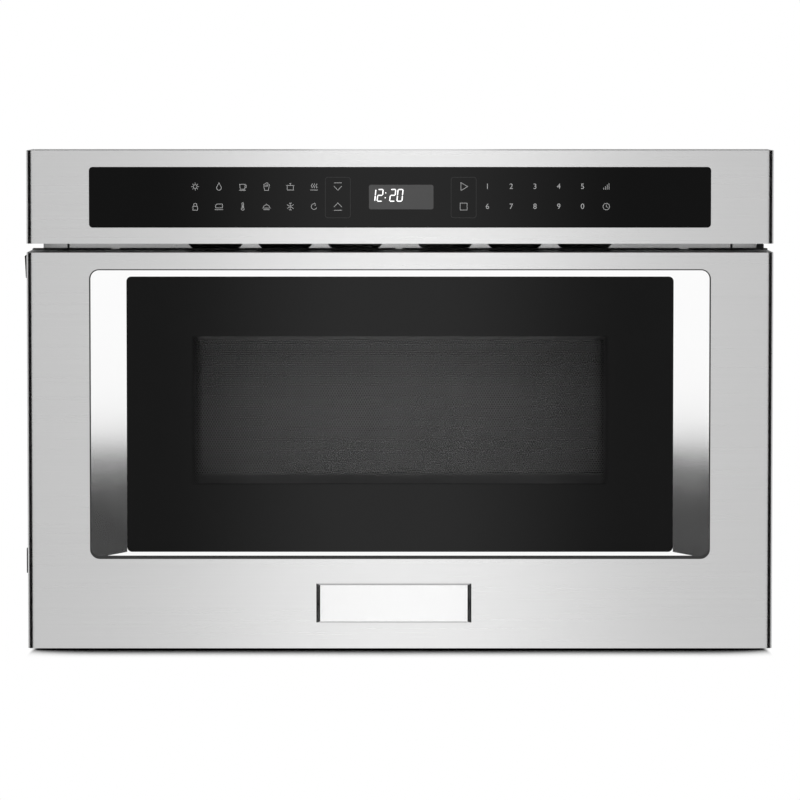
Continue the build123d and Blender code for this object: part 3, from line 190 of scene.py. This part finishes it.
strip_distance = 0.9
strip_y = front_y - strip_distance
strip_bottom = -1.4
strip_top = 1.8
card_width = 5.0
steel_pieces = ("door_skin", "control_panel", "badge_plate", "front_plate")
glass_pieces = ("touch_glass", "door_glass", "door_screen")
for name, middle, inner, outer, level, pieces in (
    ("steel_strip", 0.006, 0.040, 0.265, 1.02, steel_pieces),
    ("glass_strip", -0.008, 0.030, 0.240, 2.20, glass_pieces),
):
    glow = bpy.data.materials.new(name)
    glow.use_nodes = True
    glow.cycles.emission_sampling = "NONE"
    tree = glow.node_tree
    tree.nodes.remove(tree.nodes["Principled BSDF"])
    off_middle = calculate(tree, "ABSOLUTE", calculate(tree, "SUBTRACT", place_on(tree)[0], middle))
    glowing = tree.nodes.new("ShaderNodeEmission")
    clear = tree.nodes.new("ShaderNodeBsdfTransparent")
    both = tree.nodes.new("ShaderNodeAddShader")
    tree.links.new(ramp(tree, off_middle, inner, outer, level, 0.0), glowing.inputs["Strength"])
    tree.links.new(glowing.outputs["Emission"], both.inputs[0])
    tree.links.new(clear.outputs["BSDF"], both.inputs[1])
    tree.links.new(both.outputs["Shader"], tree.nodes["Material Output"].inputs["Surface"])
    card_line = [(middle - outer, strip_y), (middle + card_width, strip_y)]
    strip = upright_card(name, glow, card_line, strip_bottom, strip_top)
    lit = bpy.data.collections.new(name + "_reach")
    for piece in pieces:
        lit.objects.link(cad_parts[piece])
    strip.light_linking.receiver_collection = lit


# Dark cards: black slats close in front of the side edges of the two fronts draw the dark line down each
# rolled edge. Grey ones far away are mirrored in the lower half of the bezel's sides, in the badge's
# bevels and in the top of the control panel.
edge_line = ((front_half - 0.0039, front_y - 0.0040), (front_half + 0.0063, front_y - 0.0015))
for name, tone, line, bottom, top in (
    ("edge_card", 0.008, edge_line, -0.02, 0.42),
    ("low_card", 0.030, ((1.60, -10.0), (2.30, -10.0)), -1.50, -0.550),
    ("badge_card", 0.005, ((1.46, -0.42), (1.46, -1.60)), -1.20, 1.20),
    ("back_card", 0.020, ((0.15, 4.00), (1.80, 4.00)), -0.60, 2.50),
):
    paper = bpy.data.materials.new(name)
    paper.use_nodes = True
    paper.cycles.emission_sampling = "NONE"
    shader = paper.node_tree.nodes["Principled BSDF"]
    shader.inputs["Base Color"].default_value = (0.0, 0.0, 0.0, 1.0)
    shader.inputs["Specular IOR Level"].default_value = 0.0
    shader.inputs["Emission Color"].default_value = (tone, tone, tone, 1.0)
    shader.inputs["Emission Strength"].default_value = 1.0
    for side in (-1, 1):
        upright_card(f"{name}_{side}", paper, [(side * x, y) for x, y in line], bottom, top)


# Drawer front and control panel: folded from one grade of stainless sheet, brushed from side to side
# before folding, with the side edges rolled. The brushing runs round those edges.
def surface(name, dark, light, metallic, roughness, marks, bump, seed=0.0):
    """A finish whose noise, with so many marks a metre on X, Y and Z, moves the colour from dark to light
    and the roughness between its two values, and lifts the surface by up to bump metres."""
    finish = bpy.data.materials.new(name)
    finish.use_nodes = True
    tree = finish.node_tree
    shader = tree.nodes["Principled BSDF"]
    shader.inputs["Metallic"].default_value = metallic
    place = tree.nodes.new("ShaderNodeTexCoord")
    stretch = tree.nodes.new("ShaderNodeMapping")
    stretch.inputs["Scale"].default_value = marks
    stretch.inputs["Location"].default_value = (seed, seed, seed)
    noise = tree.nodes.new("ShaderNodeTexNoise")
    noise.name = "noise"
    noise.inputs["Scale"].default_value = 1.0
    noise.inputs["Detail"].default_value = 4.0
    colour = tree.nodes.new("ShaderNodeMix")
    colour.name = "colour"
    colour.data_type = "RGBA"
    colour.inputs["A"].default_value = (*dark, 1.0)
    colour.inputs["B"].default_value = (*light, 1.0)
    lift = tree.nodes.new("ShaderNodeBump")
    lift.inputs["Strength"].default_value = 1.0
    lift.inputs["Distance"].default_value = bump
    tree.links.new(place.outputs["Object"], stretch.inputs["Vector"])
    tree.links.new(stretch.outputs["Vector"], noise.inputs["Vector"])
    tree.links.new(noise.outputs["Fac"], colour.inputs["Factor"])
    gloss = ramp(tree, noise.outputs["Fac"], 0.3, 0.7, *roughness, "LINEAR")
    tree.links.new(noise.outputs["Fac"], lift.inputs["Height"])
    tree.links.new(colour.outputs["Result"], shader.inputs["Base Color"])
    tree.links.new(gloss, shader.inputs["Roughness"])
    tree.links.new(lift.outputs["Normal"], shader.inputs["Normal"])
    return finish


def dress(finish, *names):
    """Give CAD nodes a finish."""
    for name in names:
        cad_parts[name].material_slots[0].material = finish


def grey(value):
    """A neutral colour."""
    return (value, value, value)


def brush_along_x(finish):
    """Blur the reflections across the brushing, which runs along X, more than along it."""
    tree = finish.node_tree
    shader = tree.nodes["Principled BSDF"]
    shader.inputs["Anisotropic"].default_value = 0.7
    across = tree.nodes.new("ShaderNodeTangent")
    across.direction_type = "RADIAL"
    across.axis = "X"
    tree.links.new(across.outputs["Tangent"], shader.inputs["Tangent"])


front_steel = surface("front_steel", grey(0.535), grey(0.575), 1.0, (0.27, 0.33), (5, 700, 1400), 4e-6)
brush_along_x(front_steel)
dress(front_steel, "door_skin", "control_panel")


# Bezel: a mitred frame of polished, chromed metal whose four faces slope from the opening of the drawer
# front back to the glass. It is clamped between the two.
chrome = surface("chrome", grey(0.96), grey(0.98), 1.0, (0.055, 0.065), (25, 25, 25), 1e-7)
dress(chrome, "chrome_bezel")


# Badge plate: a small blank plate of satin silver metal with bevelled edges, brushed from side to side
# and glued to the drawer front below the glass.
badge_silver = surface("badge_silver", grey(0.60), grey(0.63), 1.0, (0.22, 0.26), (20, 900, 900), 1e-6, 3.0)
brush_along_x(badge_silver)
dress(badge_silver, "badge_plate")


# Door glass: a flat pane with black enamel fired on its back. The window is left free of enamel and
# coated against glare, and a few columns of ever smaller dots end the enamel on its left and right.
def from_nearest_dot(tree, across, up, pitch):
    """How far a place is from the nearest dot of staggered rows with this pitch. The whole number of
    steps added to the count keeps it above zero."""
    distances = []
    for shift in (0.0, 0.5):
        offsets = []
        for value, step in ((across, pitch), (up, pitch * sqrt(3))):
            steps = calculate(tree, "MULTIPLY_ADD", value, 1 / step, 1000.0 + shift)
            past_dot = calculate(tree, "SUBTRACT", calculate(tree, "FRACT", steps), 0.5)
            offsets.append(calculate(tree, "MULTIPLY", past_dot, step))
        height = calculate(tree, "MULTIPLY", offsets[1], offsets[1])
        distances.append(calculate(tree, "MULTIPLY_ADD", offsets[0], offsets[0], height))
    return calculate(tree, "SQRT", calculate(tree, "MINIMUM", *distances))


def inside(tree, across, up, half_width, bottom, top):
    """A value that is 1 inside a rectangle about the middle of the drawer, and 0 outside it."""
    beside = calculate(tree, "LESS_THAN", calculate(tree, "ABSOLUTE", across), half_width)
    above = calculate(tree, "LESS_THAN", up, top)
    below = calculate(tree, "GREATER_THAN", up, bottom)
    return calculate(tree, "MULTIPLY", beside, calculate(tree, "MULTIPLY", above, below))


glass_low, glass_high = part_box("door_glass")
glass_z = (glass_low.z + glass_high.z) / 2
window_half = 0.1708
window_bottom = glass_z - 0.0568
window_top = glass_z + 0.0636
dot_pitch = 0.0014
dots_reach = 0.0090
largest_dot = 0.00085
pane = surface("door_pane", grey(0.0026), grey(0.0034), 0.0, (0.04, 0.06), (30, 30, 30), 1e-7)
tree = pane.node_tree
shader = tree.nodes["Principled BSDF"]
shader.inputs["Specular IOR Level"].default_value = 0.085
across, up = place_on(tree)
from_edge = calculate(tree, "SUBTRACT", window_half, calculate(tree, "ABSOLUTE", across))
dot_size = calculate(tree, "MULTIPLY_ADD", from_edge, -largest_dot / dots_reach, largest_dot)
in_dot = calculate(tree, "LESS_THAN", from_nearest_dot(tree, across, up, dot_pitch), dot_size)
in_window = inside(tree, across, up, window_half, window_bottom, window_top)
in_border = calculate(tree, "SUBTRACT", 1.0, in_window)
tree.links.new(calculate(tree, "MAXIMUM", in_dot, in_border), shader.inputs["Alpha"])
dress(pane, "door_glass")


# Seal: a thin black rubber lip between the opening of the drawer front and the bezel, wider at the foot.
# It is pressed into the joint from the front.
def rounded(width, height, radius, x=0.0, z=0.0, steps=6):
    """The outline of a rectangle with round corners, anticlockwise from its lower right corner."""
    points = []
    for turn, (side, end) in enumerate(((1, -1), (1, 1), (-1, 1), (-1, -1))):
        for step in range(steps + 1):
            angle = (turn - 1 + step / steps) * pi / 2
            across = x + side * (width / 2 - radius) + radius * cos(angle)
            up = z + end * (height / 2 - radius) + radius * sin(angle)
            points.append((across, up))
    return points


def add_piece(name, points, faces, body, finish):
    """A mesh that rides on a body of the frame, with this finish."""
    mesh = bpy.data.meshes.new(name)
    mesh.from_pydata(points, [], faces)
    mesh.update()
    mesh.materials.append(finish)
    piece = bpy.data.objects.new(name, mesh)
    bpy.context.scene.collection.objects.link(piece)
    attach(piece, body)


def slabs(name, outlines, front, thickness, body, finish, holes=None):
    """Flat plates with these outlines in X and Z, from depth front backwards, as one piece. An outline that
    has a hole has as many points as the hole's own outline."""
    points, faces = [], []
    for number, outline in enumerate(outlines):
        hole = (holes or {}).get(number)
        count = len(outline)
        loops = []
        for loop in [outline] + ([hole] if hole else []):
            for depth in (front, front + thickness):
                loops.append(len(points))
                points.extend((x, depth, z) for x, z in loop)
        face, back = loops[0], loops[1]
        if hole:
            inner_face, inner_back = loops[2], loops[3]
        else:
            faces.append([face + k for k in range(count)])
            faces.append([back + k for k in reversed(range(count))])
        for k in range(count):
            after = (k + 1) % count
            faces.append((face + k, back + k, back + after, face + after))
            if hole:
                faces.append((face + k, face + after, inner_face + after, inner_face + k))
                faces.append((back + k, inner_back + k, inner_back + after, back + after))
                faces.append((inner_face + k, inner_face + after, inner_back + after, inner_back + k))
    add_piece(name, points, faces, body, finish)


seal_top = 0.0009
seal_side = 0.0011
seal_foot = 0.0027
bezel_low, bezel_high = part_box("chrome_bezel")
bezel_lap = 0.002
opening_width = bezel_high.x - bezel_low.x - 2 * bezel_lap
opening_height = bezel_high.z - bezel_low.z - 2 * bezel_lap
opening_z = (bezel_low.z + bezel_high.z) / 2
opening_corner = 0.0080
seal_corner = 0.0068
seal_depth = 0.0009
seal_front = front_y + 0.0003
seal_outer = rounded(opening_width, opening_height, opening_corner, z=opening_z)
seal_inner = rounded(opening_width - 2 * seal_side, opening_height - seal_top - seal_foot, seal_corner,
                     z=opening_z + (seal_foot - seal_top) / 2)
seal_black = surface("seal_rubber", grey(0.010), grey(0.018), 0.0, (0.5, 0.6), (500, 500, 500), 4e-6)
slabs("bezel_seal", [seal_outer], seal_front, seal_depth, "drawer", seal_black, {0: seal_inner})


# Screen: a black enamelled sheet pierced with fine round holes in staggered rows, which keeps the
# microwaves in while the food stays visible. Its holes are drawn in the finish as near-black dots: painted
# shade for the dark inside of the drawer seen through them. It lies on the choke behind the pane, and has
# the sheen that the window of the pane, coated against glare, doesn't have.
hole_pitch = 0.0021
hole_radius = 0.00070
field_half = 0.1676
field_bottom = glass_z - 0.0530
field_top = glass_z + 0.0580
screen = surface("pierced_screen", grey(0.034), grey(0.038), 0.0, (0.12, 0.16), (40, 40, 40), 1e-6)
tree = screen.node_tree
shader = tree.nodes["Principled BSDF"]
shader.inputs["Specular IOR Level"].default_value = 0.165
across, up = place_on(tree)
# Painted shade: near-black dots where the holes are, for the dark inside seen through them.
in_shaded_hole = calculate(tree, "LESS_THAN", from_nearest_dot(tree, across, up, hole_pitch), hole_radius)
in_field = inside(tree, across, up, field_half, field_bottom, field_top)
painted_holes = tree.nodes.new("ShaderNodeMix")
painted_holes.data_type = "RGBA"
painted_holes.inputs["B"].default_value = (*grey(0.002), 1.0)
tree.links.new(tree.nodes["colour"].outputs["Result"], painted_holes.inputs["A"])
tree.links.new(calculate(tree, "MULTIPLY", in_shaded_hole, in_field), painted_holes.inputs["Factor"])
tree.links.new(painted_holes.outputs["Result"], shader.inputs["Base Color"])
dress(screen, "door_screen")


# Touch glass: one flat pane of glass with a black back, glued into the control panel. Its keys are only
# printed on it and don't move.
touch = surface("touch_pane", grey(0.0001), grey(0.0002), 0.0, (0.05, 0.07), (30, 30, 30), 1e-7)
touch.node_tree.nodes["Principled BSDF"].inputs["Specular IOR Level"].default_value = 0.088
dress(touch, "touch_glass")
touch_low, touch_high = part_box("touch_glass")
touch_z = (touch_low.z + touch_high.z) / 2
print_lift = 0.00004
print_thickness = 0.00003
print_y = touch_low.y - print_lift


# Display: a smoked window in the touch glass, through which slanted digits of seven segments glow
# white. Here both are thin layers on the face of the glass.
display_grey = surface("display_window", grey(0.066), grey(0.072), 0.0, (0.3, 0.35), (60, 60, 60), 1e-7)
display_grey.node_tree.nodes["Principled BSDF"].inputs["Specular IOR Level"].default_value = 0.1
display_width = 0.0523
display_height = 0.0199
display_corner = 0.0016
display_x = 0.0010
display_z = touch_z + 0.0002
display_outline = rounded(display_width, display_height, display_corner, display_x, display_z)
slabs("display_window", [display_outline], print_y, print_thickness, "chassis", display_grey)

digit_glow = surface("digit_glow", grey(0.72), grey(0.95), 0.0, (0.4, 0.5), (900, 900, 900), 1e-7)
tree = digit_glow.node_tree
shader = tree.nodes["Principled BSDF"]
tree.links.new(tree.nodes["colour"].outputs["Result"], shader.inputs["Emission Color"])
shader.inputs["Emission Strength"].default_value = 0.8
shown_time = "12:20"
lit_segments = {"0": "abcdef", "1": "bc", "2": "abged"}
digit_width = 0.0040
digit_height = 0.0095
segment_width = 0.00085
segment_gap = 0.12 * segment_width
digit_pitch = 0.0059
digit_slant = 0.10
colon_narrower = 0.0016
colon_level = 0.21 * digit_height
first_digit = -0.0240
digits_z = display_z + 0.0014


def segment(start, end):
    """One lit bar of a digit, pointed at both ends, between two corners of the digit's grid."""
    along = (Vector(end) - Vector(start)).normalized()
    across = Vector((-along.y, along.x)) * segment_width / 2
    first = Vector(start) + along * segment_gap
    last = Vector(end) - along * segment_gap
    point = along * segment_width / 2
    return [first, first + point - across, last - point - across, last, last - point + across,
            first + point + across]


half = digit_height / 2
bars = {
    "a": ((0, half), (digit_width, half)),
    "b": ((digit_width, half), (digit_width, 0)),
    "c": ((digit_width, 0), (digit_width, -half)),
    "d": ((0, -half), (digit_width, -half)),
    "e": ((0, 0), (0, -half)),
    "f": ((0, half), (0, 0)),
    "g": ((0, 0), (digit_width, 0)),
}
glowing = []
for place_number, figure in enumerate(shown_time):
    left = first_digit + place_number * digit_pitch
    if place_number > shown_time.index(":"):
        left -= colon_narrower
    if figure == ":":
        dot = segment_width / 2
        square = ((0, -dot), (2 * dot, -dot), (2 * dot, dot), (0, dot))
        for level in (-colon_level, colon_level):
            glowing.append([(left + x, level + z) for x, z in square])
        continue
    for letter in lit_segments[figure]:
        glowing.append([(left + point.x, point.y) for point in segment(*bars[letter])])
glowing = [[(x + digit_slant * z, digits_z + z) for x, z in bar] for bar in glowing]
digits_y = print_y - print_lift
slabs("display_digits", glowing, digits_y, print_thickness, "chassis", digit_glow)


# Keys: plain signs and numbers in two rows, printed in grey on the touch glass, with a faint frame round
# each of the two pairs of larger keys.
key_ink = surface("key_ink", grey(0.30), grey(0.36), 0.0, (0.5, 0.6), (50, 50, 50), 1e-7)
frame_ink = surface("frame_ink", grey(0.010), grey(0.013), 0.0, (0.5, 0.6), (50, 50, 50), 1e-7)
key_pitch = 0.01927
key_rows = (touch_z + 0.0087, touch_z - 0.0075)
left_keys = -0.1660
right_keys = 0.0516
small_key = 0.0031
large_key = 0.0040
ink_width = 0.00042


def arc(x, z, radius, start, end, steps=10):
    """Points on a circle between two angles in degrees."""
    turn = [radians(start + (end - start) * step / steps) for step in range(steps + 1)]
    return [(x + radius * cos(angle), z + radius * sin(angle)) for angle in turn]


def pen_line(line, width):
    """What a pen of this width covers along a line: its outline, and the hole in it if the line is
    closed."""
    points = [Vector(point) for point in line]
    closed = (points[0] - points[-1]).length < 1e-6
    if closed:
        points.pop()
    count = len(points)
    right, left = [], []
    for k, point in enumerate(points):
        before = points[k - 1] if k or closed else None
        after = points[(k + 1) % count] if k < count - 1 or closed else None
        first = (point - before).normalized() if before is not None else (after - point).normalized()
        second = (after - point).normalized() if after is not None else first
        along = first + second
        along = along.normalized() if along.length > 1e-6 else first
        across = Vector((-along.y, along.x))
        reach = width / 2 / max(0.5, abs(across.dot(Vector((-first.y, first.x)))))
        right.append(point - across * reach)
        left.append(point + across * reach)
    if not closed:
        return right + left[::-1], None
    turning = sum(points[k - 1].x * points[k].y - points[k].x * points[k - 1].y for k in range(count))
    return (right, left) if turning > 0 else (left[::-1], right[::-1])


def draw(line, width, x, z, size, outlines, holes):
    """Add a pen line of the printing, moved to X and Z and enlarged, to these outlines and holes."""
    outline, hole = pen_line(line, width / size)
    if hole:
        holes[len(outlines)] = [(x + size * point.x, z + size * point.y) for point in hole]
    outlines.append([(x + size * point.x, z + size * point.y) for point in outline])


signs = {
    "gear": [arc(0, 0, 0.5, 0, 360, 16)] + [
        [(0.68 * cos(a), 0.68 * sin(a)), (cos(a), sin(a))] for a in (k * pi / 4 for k in range(8))
    ],
    "drop": [[(0, 1.0)] + arc(0, -0.35, 0.62, 25, -205, 14) + [(0, 1.0)]],
    "cup": [[(-0.8, 0.6), (-0.65, -0.7), (0.5, -0.7), (0.65, 0.6), (-0.8, 0.6)],
            arc(0.6, 0.05, 0.38, 70, -80), [(-0.9, -1.0), (0.8, -1.0)]],
    "bag": [[(-0.7, 0.1), (-0.5, -1.0), (0.5, -1.0), (0.7, 0.1), (-0.7, 0.1)],
            arc(-0.4, 0.42, 0.3, 0, 360), arc(0.1, 0.68, 0.32, 0, 360), arc(0.5, 0.38, 0.26, 0, 360)],
    "pot": [[(-0.8, 0.3), (-0.8, -0.9), (0.8, -0.9), (0.8, 0.3)], [(-1.05, 0.3), (1.05, 0.3)],
            [(0, 0.3), (0, 0.75)], [(-0.25, 0.8), (0.25, 0.8)]],
    "steam": [[(x + 0.16 * sin(k * 1.3), -0.4 + 0.17 * k) for k in range(8)] for x in (-0.6, 0.0, 0.6)] + [
        [(-1.0, -0.9), (1.0, -0.9)]
    ],
    "lock": [[(-0.6, 0.05), (-0.6, -0.95), (0.6, -0.95), (0.6, 0.05), (-0.6, 0.05)],
             [(-0.4, 0.05)] + arc(0, 0.45, 0.4, 180, 0) + [(0.4, 0.05)]],
    "block": [[(-0.9, -0.35), (-0.9, 0.3), (-0.55, 0.65), (0.9, 0.65), (0.9, -0.35), (-0.9, -0.35)],
              [(-1.1, -0.8), (1.1, -0.8)]],
    "tube": [[(-0.2, -0.3), (-0.2, 0.8)] + arc(0, 0.8, 0.2, 180, 0, 6) + [(0.2, -0.3)],
             arc(0, -0.6, 0.36, 60, -240, 14), [(0, -0.6), (0, 0.4)]],
    "dome": [[(-0.9, -0.4)] + arc(0, -0.4, 0.85, 180, 0, 14), [(-1.1, -0.4), (1.1, -0.4)],
             [(-0.8, -0.8), (0.8, -0.8)], [(0, 0.45), (0, 0.75)]],
    "flake": [[(-cos(a), -sin(a)), (cos(a), sin(a))] for a in (pi / 2, pi / 6, -pi / 6)] + [
        [(-0.3, 0.95), (0, 0.6), (0.3, 0.95)], [(-0.3, -0.95), (0, -0.6), (0.3, -0.95)]
    ],
    "again": [arc(0, 0, 0.75, 50, 340, 16), [(0.1, 0.95), (0.48, 0.57), (0.15, 0.2)]],
    "open": [[(-0.8, 0.1), (0, -0.75), (0.8, 0.1)], [(-0.8, 0.75), (0.8, 0.75)]],
    "close": [[(-0.8, -0.1), (0, 0.75), (0.8, -0.1)], [(-0.8, -0.75), (0.8, -0.75)]],
    "start": [[(-0.55, 0.8), (0.8, 0.0), (-0.55, -0.8), (-0.55, 0.8)]],
    "stop": [[(-0.7, 0.7), (0.7, 0.7), (0.7, -0.7), (-0.7, -0.7), (-0.7, 0.7)]],
    "bars": [[(x, -0.8), (x, top)] for x, top in ((-0.7, -0.3), (-0.23, 0.1), (0.23, 0.5), (0.7, 0.9))],
    "clock": [arc(0, 0, 0.85, 0, 360, 18), [(0, 0.5), (0, 0), (0.35, -0.2)]],
}
left_signs = (
    ("gear", "drop", "cup", "bag", "pot", "steam", "open"),
    ("lock", "block", "tube", "dome", "flake", "again", "close"),
)
printed, sign_holes = [], {}
for row_z, row in zip(key_rows, left_signs):
    for column, sign in enumerate(row):
        size = large_key if sign in ("open", "close") else small_key
        for line in signs[sign]:
            draw(line, ink_width, left_keys + key_pitch * column, row_z, size, printed, sign_holes)
for column, row_signs in ((0, ("start", "stop")), (6, ("bars", "clock"))):
    for row_z, sign in zip(key_rows, row_signs):
        size = large_key if column == 0 else small_key
        for line in signs[sign]:
            draw(line, ink_width, right_keys + key_pitch * column, row_z, size, printed, sign_holes)
slabs("key_signs", printed, print_y, print_thickness, "chassis", key_ink, sign_holes)

box_width = 0.0203
box_height = 0.0328
box_corner = 0.002
box_line = 0.0004
box_z = touch_z - 0.0002
box = rounded(box_width, box_height, box_corner)
boxes, box_holes = [], {}
for x in (left_keys + 6 * key_pitch, right_keys):
    draw(box + box[:1], box_line, x, box_z, 1.0, boxes, box_holes)
slabs("key_frames", boxes, print_y, print_thickness, "chassis", frame_ink, box_holes)

number_size = 0.0062
numbers = bpy.data.curves.new("key_numbers", "FONT")
numbers.size = number_size
numbers.align_x = "CENTER"
numbers.align_y = "CENTER"
numbers.extrude = print_thickness / 2
numbers_y = print_y + print_thickness / 2
points, faces = [], []
for row_z, row in zip(key_rows, ("12345", "67890")):
    for column, figure in enumerate(row, start=1):
        x = right_keys + key_pitch * column
        numbers.body = figure
        writer = bpy.data.objects.new("writer", numbers)
        outline = bpy.data.meshes.new_from_object(writer)
        shape = bmesh.new()
        shape.from_mesh(outline)
        bmesh.ops.remove_doubles(shape, verts=shape.verts, dist=1e-7)
        start = len(points)
        corners = [vertex.co for vertex in shape.verts]
        points.extend((x + corner.x, numbers_y - corner.z, row_z + corner.y) for corner in corners)
        faces.extend([start + vertex.index for vertex in face.verts] for face in shape.faces)
        shape.free()
        bpy.data.meshes.remove(outline)
        bpy.data.objects.remove(writer)
add_piece("key_numbers", points, faces, "chassis", key_ink)


# Trim, clips and stop: the bead along the rear top edge of the drawer front, the two clips on its left
# edge, the stop in the gap and the choke's cover, of black rubber and plastic, pushed onto folded edges.
soft_black = surface("soft_black", grey(0.006), grey(0.012), 0.0, (0.45, 0.6), (400, 400, 400), 1e-5)
dress(soft_black, "top_trim", "edge_clip_upper", "edge_clip_lower", "flange_stop", "choke_cover")


# Body sheets: base pan, wrapper, rear panel, waveguide and door frame of galvanised sheet with a faint
# spangle, and front plate and flanges of plain smooth steel, all spot-welded and screwed together.
galvanised = surface("galvanised", grey(0.46), grey(0.56), 1.0, (0.35, 0.5), (70, 70, 70), 3e-6)
tree = galvanised.node_tree
place = tree.nodes.new("ShaderNodeTexCoord")
spangles_a_metre = 140.0
spangle = tree.nodes.new("ShaderNodeTexVoronoi")
spangle.inputs["Scale"].default_value = spangles_a_metre
flake = tree.nodes.new("ShaderNodeSeparateColor")
tree.links.new(place.outputs["Object"], spangle.inputs["Vector"])
tree.links.new(spangle.outputs["Color"], flake.inputs["Color"])
half_noise = calculate(tree, "MULTIPLY", tree.nodes["noise"].outputs["Fac"], 0.5)
flake_and_noise = calculate(tree, "MULTIPLY_ADD", flake.outputs["Red"], 0.5, half_noise)
tree.links.new(flake_and_noise, tree.nodes["colour"].inputs["Factor"])
dress(galvanised, "base_pan", "wrapper", "rear_panel", "waveguide", "door_frame")

plate_steel = surface("plate_steel", grey(0.54), grey(0.57), 1.0, (0.22, 0.30), (12, 60, 60), 4e-7, 7.0)
dress(plate_steel, "front_plate", "side_flange_left", "side_flange_right")


# Air duct: a moulded box of glossy black plastic behind the six outlets of the front plate, screwed
# to it from behind.
duct_black = surface("duct_black", grey(0.04), grey(0.05), 0.0, (0.12, 0.18), (300, 300, 300), 1e-6)
dress(duct_black, "air_duct")


# Cavity, basin and the drawer front's inner sheets: folded and drawn steel under a baked, slightly
# speckled grey enamel that wipes clean.
enamel = surface("oven_enamel", grey(0.30), grey(0.36), 0.0, (0.28, 0.36), (600, 600, 600), 3e-6)
dress(enamel, "oven_cavity", "drawer_basin", "inner_panel", "door_choke")


# Shelf: the plate that dishes stand on, of pale glass ceramic, smooth and a little glossy. It lies in
# the basin.
shelf_dark = (0.46, 0.48, 0.47)
shelf_light = (0.53, 0.55, 0.54)
shelf_ceramic = surface("shelf_ceramic", shelf_dark, shelf_light, 0.0, (0.10, 0.15), (90, 90, 90), 1e-6)
dress(shelf_ceramic, "glass_shelf")


# Inner window: a clear pane of slightly green glass behind the screen, clamped in the inner panel of
# the drawer front.
pane_dark = (0.83, 0.86, 0.85)
pane_light = (0.87, 0.90, 0.89)
window_glass = surface("window_glass", pane_dark, pane_light, 0.0, (0.03, 0.04), (30, 30, 30), 1e-7)
window_glass.node_tree.nodes["Principled BSDF"].inputs["Transmission Weight"].default_value = 1.0
dress(window_glass, "inner_window")


# Slides, arms and screws: formed from cold-rolled steel, zinc plated, with light wear along the runs. The
# fixed rails have brackets, and the arms reach through the inner panel to the posts of the drawer front.
zinc = surface("zinc_plate", grey(0.50), grey(0.62), 1.0, (0.25, 0.42), (250, 4, 250), 3e-6)
dress(zinc, "fixed_rail_left", "fixed_rail_right", "middle_rail_left", "middle_rail_right",
      "moving_rail_left", "moving_rail_right", "rear_panel_screws", "inner_panel_screws")


# Rack and pinion: moulded in off-white acetal and lightly greased. The rack lies along the outer face
# of the left arm, teeth down, and the pinion's shaft runs into the gearbox.
acetal = surface("acetal", (0.74, 0.73, 0.68), (0.80, 0.79, 0.75), 0.0, (0.3, 0.4), (90, 90, 90), 4e-6)
dress(acetal, "drive_rack", "drive_pinion")


# Moulded parts: housings, shrouds, hooks and switches in black or grey plastic with a fine grain, as
# they leave the mould, screwed or clipped in place.
black_plastic = surface("black_plastic", grey(0.018), grey(0.03), 0.0, (0.42, 0.55), (900, 900, 900), 8e-6)
grey_plastic = surface("grey_plastic", grey(0.26), grey(0.32), 0.0, (0.42, 0.55), (900, 900, 900), 8e-6)
dress(black_plastic, "cord_gland", "control_housing", "glass_carrier", "interlock_left", "interlock_right",
      "drive_gearbox")
dress(grey_plastic, "latch_hook_left", "latch_hook_right", "fan_shroud", "fan_rotor", "stirrer_motor")


# Electrical parts: pressed aluminium cases and antenna, varnished iron cores, green circuit boards, the
# smoked display, the ceramic lamp holder and the mica cover, all screwed or clipped in place.
aluminium = surface("aluminium", grey(0.66), grey(0.74), 1.0, (0.3, 0.45), (120, 120, 120), 5e-6)
varnish_dark = (0.05, 0.035, 0.03)
varnish_light = (0.11, 0.07, 0.05)
varnished = surface("varnished_iron", varnish_dark, varnish_light, 0.0, (0.3, 0.5), (60, 900, 60), 2e-5)
board_dark = (0.02, 0.12, 0.05)
board_light = (0.03, 0.17, 0.07)
board = surface("circuit_board", board_dark, board_light, 0.0, (0.25, 0.4), (500, 500, 500), 1e-5)
smoked = surface("smoked_display", grey(0.03), grey(0.04), 0.0, (0.15, 0.2), (90, 90, 90), 1e-6)
ceramic = surface("lamp_ceramic", grey(0.70), grey(0.78), 0.0, (0.3, 0.4), (200, 200, 200), 5e-6)
mica = surface("mica", (0.55, 0.50, 0.40), (0.66, 0.61, 0.50), 0.0, (0.3, 0.45), (160, 160, 160), 8e-6)
dress(aluminium, "magnetron", "capacitor", "drive_motor", "stirrer_antenna")
dress(varnished, "transformer", "fan_motor")
dress(board, "control_board", "noise_filter")
dress(smoked, "display_module")
dress(ceramic, "cavity_lamp")
dress(mica, "stirrer_cover")
